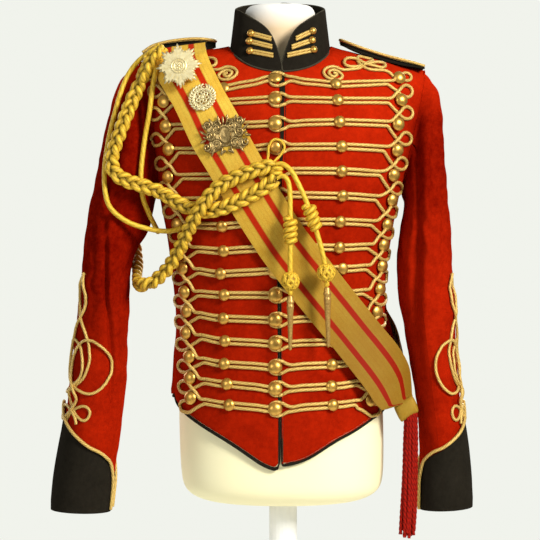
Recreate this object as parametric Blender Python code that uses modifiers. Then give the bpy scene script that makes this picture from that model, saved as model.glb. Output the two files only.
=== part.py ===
# A hussar jacket on a limbless dress form, with its cross-belt and aiguillette.
# Metres, +Z up. X runs to the wearer's left, -Y is the front. The origin is
# the middle of the stand's underside.
#
# The body is a stack of horizontal sections. Every panel, braid and belt is
# made from points of that one surface, moved in or out along its normal.

import math
from bisect import bisect_right
from collections import namedtuple

import bpy
import bmesh
from mathutils import Vector

# ---- driving sizes -------------------------------------------------------

MM = 0.001
SEAM = 0.3 * MM            # gap between neighbouring pieces
HALF_SEAM = SEAM / 2
CLOTH = 2.0 * MM           # wall of the scarlet cloth
FACING = 1.6 * MM          # wall of the black cuffs
MERGE = 0.01 * MM

NECK_TOP = 0.876           # where the shoulder ridge meets the collar
NECK_RADIUS = 0.074
NECK_DROP_FRONT = 0.046    # how far the neckline falls to the centre front
NECK_DROP_BACK = 0.004
ARMPIT = 0.660
TIP = {-1: 0.8535, 1: 0.8405}      # shoulder tips, wearer's right and left
BINDING = 5.0 * MM         # width of the black edging

CORD_RISE = 4.5 * MM
BUTTON_RISE = 7.5 * MM

RIGHT, LEFT = -1, 1
SIDE_NAME = {RIGHT: "right", LEFT: "left"}

# ---- tables --------------------------------------------------------------

Section = namedtuple("Section", "centre right left front back squareness flare_right flare_left")

# height, then the columns of Section; "right" and "left" are measured from the
# centre line, and the flares push the back of the skirt out over the hips
BODY = (
    (0.262, -0.004, 0.153, 0.153, 0.108, 0.112, 2.35, 0.012, 0.052),
    (0.300, -0.004, 0.154, 0.154, 0.108, 0.113, 2.35, 0.011, 0.048),
    (0.362, -0.004, 0.154, 0.1535, 0.106, 0.112, 2.35, 0.010, 0.040),
    (0.400, -0.005, 0.1525, 0.152, 0.103, 0.107, 2.3, 0.007, 0.032),
    (0.435, -0.005, 0.1505, 0.1515, 0.099, 0.100, 2.3, 0.005, 0.025),
    (0.464, -0.005, 0.150, 0.1515, 0.097, 0.094, 2.25, 0.002, 0.016),
    (0.500, -0.005, 0.151, 0.1525, 0.097, 0.090, 2.25, 0.0, 0.003),
    (0.551, -0.006, 0.156, 0.1555, 0.101, 0.093, 2.2, 0.0, 0.0),
    (0.5945, -0.0055, 0.1615, 0.162, 0.108, 0.099, 2.2, 0.0, 0.0),
    (0.645, -0.005, 0.172, 0.169, 0.115, 0.104, 2.25, 0.0, 0.0),
    (0.660, -0.005, 0.1745, 0.1735, 0.1165, 0.105, 2.25, 0.0, 0.0),
    (0.700, -0.002, 0.184, 0.184, 0.120, 0.108, 2.2, 0.0, 0.0),
    (0.750, 0.0, 0.198, 0.197, 0.119, 0.108, 2.2, 0.0, 0.0),
    (0.800, -0.001, 0.2065, 0.2065, 0.106, 0.102, 2.1, 0.0, 0.0),
    (0.8405, -0.003, 0.2055, 0.2095, 0.083, 0.088, 1.95, 0.0, 0.0),
    (0.8535, -0.0035, 0.204, 0.1576, 0.074, 0.078, 1.85, 0.0, 0.0),
    (0.876, -0.0045, 0.074, 0.074, 0.060, 0.058, 1.8, 0.0, 0.0),
)

# the dress form, under the cloth and down to its rounded foot
FORM = (
    (0.2120, -0.001, 0.035, 0.035, 0.025, 0.027, 2.2, 0.0, 0.0),
    (0.2145, -0.001, 0.085, 0.085, 0.056, 0.060, 2.3, 0.0, 0.0),
    (0.2210, -0.001, 0.121, 0.121, 0.082, 0.086, 2.4, 0.0, 0.0),
    (0.2330, -0.001, 0.141, 0.141, 0.097, 0.101, 2.4, 0.0, 0.0),
    (0.2500, -0.001, 0.1475, 0.1475, 0.102, 0.106, 2.35, 0.0, 0.0),
    (0.3000, -0.002, 0.149, 0.1490, 0.102, 0.107, 2.35, 0.0, 0.0),
    (0.3620, -0.003, 0.1495, 0.1490, 0.1005, 0.106, 2.35, 0.0, 0.0),
    (0.4350, -0.005, 0.1460, 0.1470, 0.0940, 0.0950, 2.3, 0.0, 0.0),
    (0.4900, -0.005, 0.1460, 0.1475, 0.0920, 0.0855, 2.25, 0.0, 0.0),
    (0.5510, -0.006, 0.1515, 0.1510, 0.0960, 0.0880, 2.2, 0.0, 0.0),
    (0.6000, -0.0055, 0.1580, 0.1585, 0.1040, 0.0950, 2.2, 0.0, 0.0),
    (0.6600, -0.005, 0.1690, 0.1680, 0.1110, 0.0995, 2.25, 0.0, 0.0),
    (0.7000, -0.002, 0.1780, 0.1780, 0.1140, 0.1025, 2.2, 0.0, 0.0),
    (0.7500, 0.0, 0.1910, 0.1900, 0.1125, 0.1020, 2.2, 0.0, 0.0),
    (0.7950, -0.001, 0.1980, 0.1970, 0.1000, 0.0960, 2.1, 0.0, 0.0),
    (0.8286, -0.003, 0.1960, 0.1920, 0.0790, 0.0830, 2.0, 0.0, 0.0),
    (0.8447, -0.0035, 0.1890, 0.1500, 0.0680, 0.0720, 1.85, 0.0, 0.0),
    (0.8667, -0.0045, 0.0740, 0.0740, 0.0560, 0.0540, 1.9, 0.0, 0.0),
    (0.8770, -0.0045, 0.0580, 0.0580, 0.0520, 0.0490, 2.0, 0.0, 0.0),
    (0.9200, -0.0045, 0.0525, 0.0525, 0.0490, 0.0460, 2.0, 0.0, 0.0),
    (0.9300, -0.0045, 0.0490, 0.0490, 0.0460, 0.0430, 2.0, 0.0, 0.0),
    (0.9345, -0.0045, 0.0400, 0.0400, 0.0380, 0.0360, 2.0, 0.0, 0.0),
)
FORM_HEIGHTS = (0.2120, 0.2145, 0.2210, 0.2330, 0.2500, 0.300, 0.362, 0.435, 0.490, 0.551,
                0.600, 0.660, 0.700, 0.750, 0.795, 0.8286, 0.8447, 0.8557, 0.8667, 0.877, 0.920,
                0.930, 0.9345)

# fraction down the armhole from the shoulder tip; degrees round the body from
# the centre front to the front edge, and from the centre back to the back edge
ARMHOLE = (
    (0.0, 90.0, 90.0),
    (0.10, 82.0, 82.0),
    (0.25, 74.0, 72.0),
    (0.50, 71.0, 70.0),
    (0.75, 75.0, 74.0),
    (0.90, 82.0, 82.0),
    (1.0, 90.0, 90.0),
)

# distance round the body from the centre front; hem height right and left
HEM = (
    (0.0, 0.285, 0.281),
    (0.0015, 0.2775, 0.2780),
    (0.006, 0.2718, 0.2765),
    (0.013, 0.2702, 0.2772),
    (0.0275, 0.277, 0.281),
    (0.050, 0.2925, 0.2905),
    (0.0755, 0.309, 0.309),
    (0.108, 0.3254, 0.322),
    (0.140, 0.341, 0.3385),
    (0.184, 0.3605, 0.351),
)
HEM_SIDE = {RIGHT: 0.366, LEFT: 0.358}
HEM_CENTRE_BACK = 0.340

# outer x and z, inner x and z, half depth, depth of the middle
SLEEVE_LEFT = (
    (0.2250, 0.8150, 0.1765, 0.6500, 0.059, 0.003),
    (0.2290, 0.7900, 0.1755, 0.6380, 0.062, 0.001),
    (0.2319, 0.7540, 0.1730, 0.6200, 0.064, 0.000),
    (0.2360, 0.7030, 0.1690, 0.5980, 0.064, -0.002),
    (0.2400, 0.6450, 0.1620, 0.5750, 0.063, -0.004),
    (0.2435, 0.6000, 0.1610, 0.5480, 0.061, -0.006),
    (0.2460, 0.5510, 0.1668, 0.5120, 0.059, -0.009),
    (0.2480, 0.5000, 0.1730, 0.4750, 0.057, -0.012),
    (0.2490, 0.4425, 0.1815, 0.4260, 0.055, -0.015),
    (0.2520, 0.3900, 0.1880, 0.3810, 0.053, -0.018),
    (0.2565, 0.3475, 0.1930, 0.3410, 0.051, -0.020),
    (0.2650, 0.3040, 0.1955, 0.3000, 0.050, -0.022),
    (0.2690, 0.2600, 0.1960, 0.2570, 0.049, -0.023),
    (0.2710, 0.2120, 0.1970, 0.2080, 0.048, -0.024),
)
SLEEVE_RIGHT = (
    (-0.2320, 0.8370, -0.1865, 0.6500, 0.059, 0.003),
    (-0.2435, 0.8130, -0.1880, 0.6380, 0.062, 0.001),
    (-0.2545, 0.7650, -0.1905, 0.6200, 0.064, 0.000),
    (-0.2660, 0.7170, -0.1960, 0.6010, 0.064, -0.002),
    (-0.2770, 0.6700, -0.2060, 0.5900, 0.063, -0.004),
    (-0.2850, 0.6200, -0.2180, 0.5730, 0.061, -0.006),
    (-0.2900, 0.5650, -0.2210, 0.5330, 0.059, -0.009),
    (-0.2960, 0.5050, -0.2245, 0.4830, 0.057, -0.012),
    (-0.3010, 0.4450, -0.2235, 0.4300, 0.055, -0.015),
    (-0.3065, 0.3930, -0.2265, 0.3800, 0.053, -0.018),
    (-0.3125, 0.3480, -0.2310, 0.3370, 0.051, -0.020),
    (-0.3200, 0.3040, -0.2365, 0.2950, 0.050, -0.022),
    (-0.3290, 0.2600, -0.2430, 0.2520, 0.049, -0.023),
    (-0.3330, 0.2080, -0.2495, 0.2050, 0.048, -0.024),
)
SLEEVE = {RIGHT: SLEEVE_RIGHT, LEFT: SLEEVE_LEFT}
SLEEVE_RINGS = len(SLEEVE_LEFT)
# degrees round the sleeve from its outer line of the columns of its two pieces
UPPER_COLUMNS = (-108.0, -86.0, -64.8, -48.0, -32.4, -12.6, 0.0, 12.6, 32.4, 48.0, 64.8, 86.0, 108.0)
UNDER_COLUMNS = (108.0, 130.0, 151.2, 166.0, 180.0, 194.0, 208.8, 230.0, 252.0)

# degrees round the sleeve either way from the outer line; top of the cuff
CUFF_TOP = (
    (0.0, 0.358),
    (20.0, 0.341),
    (65.0, 0.312),
    (95.0, 0.297),
    (130.0, 0.286),
    (155.0, 0.270),
    (169.0, 0.248),
    (176.0, 0.222),
)

# frogging rows: heights in mm of the right loop, end, middle, centre button,
# left middle, end and loop; then the distances in mm from the centre plane of
# the right loop, end and middle and of the left middle, end and loop
FROGS = (
    (805, 821, 805, 817, 810, 823, 805, 182, 171, 84, 73, 163, 174),
    (773, 789, 785, 788, 787, 791, 774, 182, 168, 84, 75, 165, 174),
    (737, 754, 752, 754, 757, 757, 738, 179, 164, 84, 77, 160, 172),
    (703, 722, 717, 722, 723, 721, 703, 173, 160, 84, 80, 159, 166),
    (668, 683, 682, 689, 689, 686, 668, 168, 161, 84, 80, 154, 161),
    (635, 649, 649, 656, 655, 651, 635, 161, 156, 84, 81, 152, 155),
    (600, 616, 613, 619, 619, 616, 605, 152, 148, 85, 78, 145, 149),
    (570, 583, 578, 583, 583, 587, 574, 148, 141, 83, 77, 140, 145),
    (540, 554, 546, 550, 553, 557, 542, 148, 141, 87, 82, 138, 143),
    (507, 520, 516, 516, 517, 524, 510, 147, 138, 82, 72, 135, 139),
    (477, 493, 483, 481, 484, 491, 479, 146, 135, 83, 71, 132, 139),
    (445, 462, 451, 448, 450, 459, 445, 143, 136, 81, 69, 129, 137),
    (414, 428, 419, 415, 418, 427, 412, 140, 131, 82, 67, 126, 133),
    (385, 398, 391, 385, 388, 396, 381, 139, 130, 78, 66, 123, 131),
    (357, 370, 362, 357, 362, 367, 352, 138, 129, 75, 68, 122, 129),
)
CENTRE_BUTTON_X = -0.012
CENTRE_RADIUS = 9.4 * MM
BUTTON_RADIUS = 8.2 * MM
LOOP_RADIUS = 8.0 * MM

# cross-belt, front length: x and z of its two edges from the shoulder to the hip
BELT_FRONT = (
    (-0.1790, 0.8350, -0.1080, 0.8560),
    (-0.1715, 0.8150, -0.1010, 0.8380),
    (-0.1535, 0.7850, -0.0880, 0.8110),
    (-0.1390, 0.7570, -0.0750, 0.7870),
    (-0.1233, 0.7230, -0.0598, 0.7605),
    (-0.1034, 0.6890, -0.0400, 0.7240),
    (-0.0693, 0.6305, -0.0090, 0.6690),
    (-0.0301, 0.5680, 0.0268, 0.6120),
    (0.0000, 0.5270, 0.0565, 0.5730),
    (0.0325, 0.4860, 0.0865, 0.5330),
    (0.0646, 0.4460, 0.1170, 0.4930),
    (0.0920, 0.4110, 0.1420, 0.4610),
    (0.1160, 0.3810, 0.1640, 0.4340),
    (0.1310, 0.3630, 0.1790, 0.4080),
    (0.1430, 0.3540, 0.1835, 0.3740),
)
# back length: the middle line as degrees round the body from the centre front
# towards the left, and height
BELT_BACK = (
    (101.0, 0.412), (107.0, 0.430), (115.0, 0.454), (128.0, 0.487), (144.0, 0.526),
    (157.5, 0.567), (169.0, 0.609), (179.0, 0.651), (187.0, 0.693), (196.0, 0.735),
    (204.5, 0.777), (212.0, 0.811),
)
# over the shoulder, from back to front: depth, and x of the two edges
BELT_SHOULDER = (
    (0.060, -0.160, -0.098), (0.045, -0.171, -0.105), (0.030, -0.178, -0.109),
    (0.015, -0.182, -0.111), (0.0, -0.182, -0.111), (-0.016, -0.182, -0.111),
    (-0.032, -0.182, -0.111),
)
BELT_WIDTH = 70.0 * MM
BELT_THICK = 2.0 * MM
BELT_LIFT = 6.2 * MM       # the belt lies on the frogging cords

# girth that the belt lies on: height, half width left of centre
BELT_GIRTH = (
    (0.340, 0.194), (0.400, 0.191), (0.440, 0.184), (0.480, 0.170),
    (0.520, 0.160), (0.560, 0.157),
)

Colour = namedtuple("Colour", "red green blue roughness metallic")
COLOURS = {
    "scarlet_cloth": Colour(0.42, 0.012, 0.006, 0.85, 0.0),
    "black_cloth": Colour(0.015, 0.013, 0.011, 0.88, 0.0),
    "gold_cord": Colour(0.55, 0.33, 0.08, 0.5, 0.3),
    "gold_lace": Colour(0.58, 0.40, 0.09, 0.45, 0.3),
    "bright_cord": Colour(0.60, 0.42, 0.05, 0.5, 0.2),
    "red_cord": Colour(0.40, 0.012, 0.012, 0.7, 0.0),
    "badge_metal": Colour(0.70, 0.58, 0.25, 0.35, 1.0),
    "form_cover": Colour(0.86, 0.80, 0.66, 0.7, 0.0),
    "stand_paint": Colour(0.82, 0.81, 0.78, 0.4, 0.0),
}

# ---- curves through the tables -------------------------------------------


def table_value(rows, column, at):
    """Smooth value of a column, with no overshoot between the rows."""
    keys = [row[0] for row in rows]
    values = [row[column] for row in rows]
    if at <= keys[0]:
        return values[0]
    if at >= keys[-1]:
        return values[-1]
    low = bisect_right(keys, at) - 1

    def secant(k):
        return (values[k + 1] - values[k]) / (keys[k + 1] - keys[k])

    def slope(k):
        if k == 0:
            return secant(0)
        if k == len(keys) - 1:
            return secant(k - 1)
        before, after = secant(k - 1), secant(k)
        return 0.0 if before * after <= 0 else 2 * before * after / (before + after)

    span = keys[low + 1] - keys[low]
    u = (at - keys[low]) / span
    start, end = values[low], values[low + 1]
    return (start * (1 + 2 * u) * (1 - u) ** 2 + slope(low) * span * u * (1 - u) ** 2
            + end * u * u * (3 - 2 * u) + slope(low + 1) * span * u * u * (u - 1))


section_store = {}


def section(rows, height):
    key = (id(rows), round(height, 6))
    if key not in section_store:
        columns = range(1, len(rows[0]))
        section_store[key] = Section(*(table_value(rows, column, height) for column in columns))
    return section_store[key]


def lerp(start, end, share):
    return start + (end - start) * share


def smoothstep(share):
    share = min(max(share, 0.0), 1.0)
    return share * share * (3 - 2 * share)

# ---- the body surface ----------------------------------------------------


def on_section(rows, turn, height):
    """Point at so many degrees from the centre front, positive to the left."""
    s = section(rows, height)
    angle = math.radians(turn)
    sine, cosine = math.sin(angle), math.cos(angle)
    power = 2 / s.squareness
    half = s.left if sine > 0 else s.right
    depth = s.front if cosine > 0 else s.back
    x = s.centre + math.copysign(half * abs(sine) ** power, sine)
    y = -math.copysign(depth * abs(cosine) ** power, cosine)
    if cosine < 0:
        past_seam = max(abs((turn + 180) % 360 - 180) - 90, 0.0) / 90
        bulge = math.sin(math.pi * past_seam ** 0.45) * math.sqrt(max(1 - past_seam, 0.0))
        flare = (s.flare_left if sine > 0 else s.flare_right) * bulge
        x += flare * sine
        y -= flare * cosine
    return Vector((x, y, height))


def moved_out(surface, u, v, du, dv, lift):
    """Point of a surface moved along its normal; u x v must face outwards."""
    point = surface(u, v)
    if lift == 0:
        return point
    along_u = surface(u + du, v) - surface(u - du, v)
    along_v = surface(u, v + dv) - surface(u, v - dv)
    return point + along_u.cross(along_v).normalized() * lift


def body(turn, height, lift=0.0):
    return moved_out(lambda u, v: on_section(BODY, u, v), turn, height, 0.4, 0.5 * MM, lift)


def turn_at_offset(side, offset, height):
    """Degrees from the centre front of a front point so far from the centre line."""
    s = section(BODY, height)
    half = s.left if side > 0 else s.right
    ratio = min(max(offset / half, 0.0), 1.0)
    return side * math.degrees(math.asin(ratio ** (s.squareness / 2)))


def offset_at_turn(turn, height):
    return abs(on_section(BODY, turn, height).x - section(BODY, height).centre)


def turn_at_x(x, height):
    offset = x - section(BODY, height).centre
    return turn_at_offset(1 if offset >= 0 else -1, abs(offset), height)


def side_seam_turn(height, gap, front=True):
    s = section(BODY, height)
    depth = s.front if front else s.back
    return 90 - math.degrees(math.asin((gap / depth) ** (s.squareness / 2)))


girth_store = {}
GIRTH_STEPS = 90


def girth(side, height):
    """Distances round a section from the centre front, one for each degree."""
    key = (side, round(height, 4))
    if key not in girth_store:
        total, lengths = 0.0, [0.0]
        last = on_section(BODY, 0, key[1])
        for step in range(1, GIRTH_STEPS + 1):
            point = on_section(BODY, side * step, key[1])
            total += (point - last).length
            lengths.append(total)
            last = point
        girth_store[key] = lengths
    return girth_store[key]


def turn_at_arc(arc, height):
    side = 1 if arc >= 0 else -1
    lengths = girth(side, height)
    low = min(bisect_right(lengths, abs(arc)) - 1, GIRTH_STEPS - 1)
    return side * (low + (abs(arc) - lengths[low]) / (lengths[low + 1] - lengths[low]))


def arc_at_x(x, height):
    turn = turn_at_x(x, height)
    side = 1 if turn >= 0 else -1
    lengths = girth(side, height)
    low = min(int(abs(turn)), GIRTH_STEPS - 1)
    return side * lerp(lengths[low], lengths[low + 1], abs(turn) - low)


def front(x, height, lift):
    return body(turn_at_x(x, height), height, lift)

# ---- objects and meshes --------------------------------------------------


def clear_scene():
    for thing in list(bpy.data.objects):
        bpy.data.objects.remove(thing, do_unlink=True)


def make_collection(name):
    collection = bpy.data.collections.new(name)
    bpy.context.scene.collection.children.link(collection)
    return collection


def make_material(name):
    look = COLOURS[name]
    material = bpy.data.materials.new(name)
    material.use_nodes = True
    shader = material.node_tree.nodes["Principled BSDF"]
    shader.inputs["Base Color"].default_value = (look.red, look.green, look.blue, 1.0)
    shader.inputs["Roughness"].default_value = look.roughness
    shader.inputs["Metallic"].default_value = look.metallic
    material.diffuse_color = (look.red, look.green, look.blue, 1.0)
    return material


def finish_object(name, bm, material, collection, smooth_angle=40.0):
    mesh = bpy.data.meshes.new(name)
    bm.to_mesh(mesh)
    bm.free()
    mesh.materials.append(material)
    mesh.shade_smooth()
    mesh.set_sharp_from_angle(angle=math.radians(smooth_angle))
    thing = bpy.data.objects.new(name, mesh)
    collection.objects.link(thing)
    return thing


def tidy(bm):
    bmesh.ops.remove_doubles(bm, verts=bm.verts, dist=MERGE)
    bmesh.ops.dissolve_degenerate(bm, edges=bm.edges, dist=MERGE / 10)
    bmesh.ops.recalc_face_normals(bm, faces=bm.faces)
    bmesh.ops.triangulate(bm, faces=bm.faces)


def bridge(bm, first, second, closed):
    count = len(first)
    for k in range(count if closed else count - 1):
        after = (k + 1) % count
        corners = (first[k], first[after], second[after], second[k])
        bm.faces.new(corners)


def wall(name, rows, material, collection, ring=False):
    """Closed shell from rows of (outer, inner) points; a ring joins up each row."""
    bm = bmesh.new()
    outer = [[bm.verts.new(pair[0]) for pair in row] for row in rows]
    inner = [[bm.verts.new(pair[1]) for pair in row] for row in rows]
    for layer in (outer, inner):
        for first, second in zip(layer, layer[1:]):
            bridge(bm, first, second, ring)
    bridge(bm, outer[0], inner[0], ring)
    bridge(bm, outer[-1], inner[-1], ring)
    if not ring:
        for end in (0, -1):
            bridge(bm, [row[end] for row in outer], [row[end] for row in inner], False)
    tidy(bm)
    return finish_object(name, bm, material, collection)


def loft(name, rings, material, collection, smooth_angle=40.0):
    """Closed solid through rings of points, with flat or fanned ends."""
    bm = bmesh.new()
    layers = [[bm.verts.new(point) for point in ring] for ring in rings]
    for first, second in zip(layers, layers[1:]):
        bridge(bm, first, second, True)
    bm.faces.new(layers[0])
    bm.faces.new(layers[-1])
    tidy(bm)
    return finish_object(name, bm, material, collection, smooth_angle)

# ---- fronts, backs and edging --------------------------------------------

# degrees round the neck from the centre front, and from the centre back
NECK_ANGLES_FRONT = (4.2, 12.0, 21.0, 32.0, 46.0, 66.0, 90.0)
NECK_ANGLES_BACK = (0.12, 22.0, 45.0, 68.0, 90.0)
# distances round the body of the columns of a front, at the hem
FRONT_FEET = (0.009, 0.013, 0.0275, 0.045, 0.0625, 0.083, 0.104, 0.125, 0.145,
              0.162, 0.175, 0.185, 0.194, 0.202)
# degrees from the centre back of the columns of a back
BACK_FEET = (12.0, 22.0, 32.0, 42.0, 51.0, 58.0, 64.5, 70.5, 76.0, 81.0, 85.5)
SHOULDER_COLUMNS = 3
ARMHOLE_SHARES = (0.0, 0.07, 0.18, 0.36, 0.60, 0.84, 1.0)
LOWER_ROWS, UPPER_ROWS = 11, 7
CENTRE_TOP = 0.829         # top of the centre front edge
CENTRE_FOOT = 0.31         # where the edge starts to round into the hem


def hem_path(side):
    """Outer edge of a front, as (arc, height), from the centre down and along the hem."""
    column = 1 if side == RIGHT else 2
    return [(0.0, CENTRE_FOOT)] + [(row[0], row[column]) for row in HEM]


def offset_path(path, distance):
    """The path moved to the cloth's side of it, in the flat cut."""
    moved = []
    for k, here in enumerate(path):
        normals = []
        for start, end in zip(path[max(k - 1, 0):k + 1], path[max(k - 1, 0) + 1:k + 2]):
            run, rise = end[0] - start[0], end[1] - start[1]
            normals.append(Vector((-rise, run)).normalized())
        middle = sum(normals, Vector((0, 0))).normalized()
        reach = distance / max(middle.dot(normals[0]), 0.6)
        moved.append((here[0] + middle.x * reach, here[1] + middle.y * reach))
    return moved


def hem_height(side, arc, distance):
    """Height of the line that runs so far inside the finished hem."""
    points = [(-1.0, 0.0)]
    for point in offset_path(hem_path(side), distance)[2:]:
        if point[0] > points[-1][0]:
            points.append(point)
    points[0] = (distance, points[1][1] + 2.0 * MM)
    low = min(max(bisect_right([p[0] for p in points], arc) - 1, 0), len(points) - 2)
    (arc_low, height_low), (arc_high, height_high) = points[low], points[low + 1]
    return lerp(height_low, height_high, (arc - arc_low) / (arc_high - arc_low))


def back_hem(side, degrees):
    """Finished hem of the back, by degrees from the centre back."""
    return lerp(HEM_CENTRE_BACK, HEM_SIDE[side], smoothstep(degrees / 90))


def neck_height(degrees, is_front):
    drop = NECK_DROP_FRONT if is_front else NECK_DROP_BACK
    return NECK_TOP - drop * math.cos(math.radians(degrees))


def armhole_point(side, share, is_front):
    """Degrees and height of the armhole edge, from shoulder tip to armpit."""
    height = lerp(TIP[side], ARMPIT, share)
    degrees = table_value(ARMHOLE, 1 if is_front else 2, share)
    return min(degrees, side_seam_turn(height, HALF_SEAM, is_front)), height


def offset_of(side, degrees, height, is_front):
    turn = side * (degrees if is_front else 180 - degrees)
    return offset_at_turn(turn, height)


def panel_tops(side, is_front):
    """Top of each column, on neck, shoulder seam and armhole, as (offset, height)."""
    tops = []
    for degrees in (NECK_ANGLES_FRONT if is_front else NECK_ANGLES_BACK)[:-1]:
        offset = NECK_RADIUS * math.sin(math.radians(degrees))
        tops.append((offset, neck_height(degrees, is_front)))
    for k in range(SHOULDER_COLUMNS):
        height = lerp(NECK_TOP, TIP[side], k / SHOULDER_COLUMNS)
        degrees = side_seam_turn(height, HALF_SEAM, is_front)
        tops.append((offset_of(side, degrees, height, is_front), height))
    for share in ARMHOLE_SHARES:
        degrees, height = armhole_point(side, share, is_front)
        tops.append((offset_of(side, degrees, height, is_front), height))
    return tops


def panel_feet(side, is_front):
    """Foot of each column at the hem, as (degrees, height); the ends are seams."""
    if is_front:
        inset = BINDING + SEAM
        feet = []
        for arc in FRONT_FEET:
            height = hem_height(side, arc, inset)
            feet.append((abs(turn_at_arc(side * arc, height)), height))
        first = (None, hem_height(side, inset, inset))
    else:
        feet = [(degrees, back_hem(side, degrees) + BINDING + SEAM) for degrees in BACK_FEET]
        first = (None, HEM_CENTRE_BACK + BINDING + SEAM)
    last = (None, HEM_SIDE[side] + BINDING + SEAM)
    return [first] + feet + [last]


def panel_points(side, is_front, thickness=CLOTH):
    """Rows of (outer, inner) points of a front or a back, from hem to top."""
    tops, feet = panel_tops(side, is_front), panel_feet(side, is_front)
    columns = []
    for k, ((foot_degrees, foot_height), (top_offset, top_height)) in enumerate(zip(feet, tops)):

        def degrees_at(height):
            limit = side_seam_turn(height, HALF_SEAM, is_front)
            if k == 0:
                offset = BINDING + SEAM + HALF_SEAM if is_front else HALF_SEAM
                return offset_degrees(side, offset, height)
            return limit if k == len(feet) - 1 else min(foot_degrees, limit)

        column = []
        for step in range(LOWER_ROWS):
            height = lerp(foot_height, ARMPIT, step / LOWER_ROWS)
            column.append((degrees_at(height), height))
        chest_offset = offset_of(side, degrees_at(ARMPIT), ARMPIT, is_front)
        for step in range(UPPER_ROWS + 1):
            share = 1 - (1 - step / UPPER_ROWS) ** 1.5
            height = lerp(ARMPIT, top_height, share)
            offset = lerp(chest_offset, top_offset, share)
            degrees = offset_degrees(side, offset, height)
            column.append((min(degrees, side_seam_turn(height, HALF_SEAM, is_front)), height))
        columns.append(column)
    rows = []
    for line in zip(*columns):
        row = []
        for degrees, height in line:
            turn = side * (degrees if is_front else 180 - degrees)
            row.append((body(turn, height), body(turn, height, -thickness)))
        rows.append(row)
    return rows


def offset_degrees(side, offset, height):
    """Degrees from the centre front or back of a point so far from the centre line."""
    s = section(BODY, height)
    half = s.left if side > 0 else s.right
    ratio = min(max(offset / half, 0.0), 1.0)
    return math.degrees(math.asin(ratio ** (s.squareness / 2)))


def edging(side, material, collection):
    """Black binding down the centre front and along the whole hem to the centre back."""
    rim = 0.2 * MM
    foot = hem_height(side, BINDING + SEAM, BINDING + SEAM)
    heights = [lerp(foot, ARMPIT, step / LOWER_ROWS) for step in range(LOWER_ROWS)]
    heights += [lerp(ARMPIT, CENTRE_TOP, 1 - (1 - step / UPPER_ROWS) ** 1.5)
                for step in range(UPPER_ROWS + 1)]
    edges = [((HALF_SEAM, height), (BINDING, height)) for height in reversed(heights[1:])]
    corner = hem_path(side)[1:5]
    inner_foot = hem_height(side, BINDING, BINDING)
    edges.append(((HALF_SEAM, corner[0][1]), (BINDING, lerp(inner_foot, heights[1], 0.15))))
    edges.append((corner[1], (BINDING, inner_foot)))
    edges.append((corner[2], (BINDING + 1.2 * MM,
                              hem_height(side, BINDING + 1.2 * MM, BINDING) - 2.1 * MM)))
    for arc in FRONT_FEET:
        edges.append(((arc, hem_height(side, arc, 0.0)), (arc, hem_height(side, arc, BINDING))))
    lines = [[(turn_at_arc(side * arc, height), height) for arc, height in pair]
             for pair in edges]
    for degrees in (90.0,) + tuple(reversed(BACK_FEET)) + (0.15,):
        turn, height = side * (180 - degrees), back_hem(side, degrees)
        lines.append([(turn, height), (turn, height + BINDING - 0.2 * MM)])
    rows = [[(body(turn, height, rim), body(turn, height, -CLOTH - rim)) for turn, height in line]
            for line in lines]
    return wall("edging_" + SIDE_NAME[side], rows, material, collection)

# ---- sleeves and cuffs ---------------------------------------------------

SLEEVE_TABLE = {side: tuple((k + 1,) + row for k, row in enumerate(rows))
                for side, rows in SLEEVE.items()}
SLEEVE_ROWS = (0.02, 1, 2, 3.2, 4.4, 5.6, 6.8, 8, 9, 10, 11, 12, 13, 14)
ARMHOLE_CLEAR = 0.6 * MM


def armhole_corner(side, share, is_front):
    degrees, height = armhole_point(side, share, is_front)
    if share in (0, 1):
        degrees = 90.0
    return body(side * (degrees if is_front else 180 - degrees), height)


def armhole_ring(side, phi):
    """Edge of the armhole at an angle round the sleeve: 0 shoulder, 90 front, 180 armpit."""
    around = phi % 360
    is_front = around <= 180
    share = (around if is_front else 360 - around) / 180
    low = min(bisect_right(ARMHOLE_SHARES, share) - 1, len(ARMHOLE_SHARES) - 2)
    start, end = ARMHOLE_SHARES[low], ARMHOLE_SHARES[low + 1]
    first, last = (armhole_corner(side, at, is_front) for at in (start, end))
    return first.lerp(last, (share - start) / (end - start)) + Vector((side * ARMHOLE_CLEAR, 0, 0))


def sleeve_ring(side, v, phi):
    rows = SLEEVE_TABLE[side]
    ox, oz, ix, iz, depth, middle = (table_value(rows, column, v) for column in range(1, 7))
    outer, inner = Vector((ox, middle, oz)), Vector((ix, middle, iz))
    angle = math.radians(phi)
    centre = (outer + inner) / 2
    return centre + (outer - inner) / 2 * math.cos(angle) - Vector((0, depth * math.sin(angle), 0))


def on_sleeve(side, v, phi):
    """Sleeve surface: v is 0 at the armhole and counts the rings down to the wrist."""
    if v >= 1:
        return sleeve_ring(side, v, phi)
    return armhole_ring(side, phi).lerp(sleeve_ring(side, 1, phi), v)


def sleeve(side, v, phi, lift=0.0):
    if side == LEFT:
        return moved_out(lambda a, b: on_sleeve(side, b, a), phi, v, 1.0, 0.03, lift)
    return moved_out(lambda a, b: on_sleeve(side, a, b), v, phi, 0.03, 1.0, lift)


def sleeve_v_at(side, phi, height):
    """Ring number where the sleeve at that angle reaches the height."""
    low, high = 1.0, float(SLEEVE_RINGS)
    for _ in range(30):
        middle = (low + high) / 2
        if on_sleeve(side, middle, phi).z > height:
            low = middle
        else:
            high = middle
    return low


def sleeve_piece(name, side, columns, material, collection):
    seam = 0.18            # degrees, half the seam gap
    angles = (columns[0] + seam,) + columns[1:-1] + (columns[-1] - seam,)
    rows = []
    for v in SLEEVE_ROWS:
        rows.append([(sleeve(side, v, phi), sleeve(side, v, phi, -CLOTH)) for phi in angles])
    return wall(name, rows, material, collection)


CUFF_CLEAR = 0.8 * MM
CUFF_ANGLES = (4, 21, 38, 55, 72, 89, 108, 126, 142, 156, 167, 176)


def cuff_top(phi):
    return table_value(CUFF_TOP, 1, abs(phi))


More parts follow.
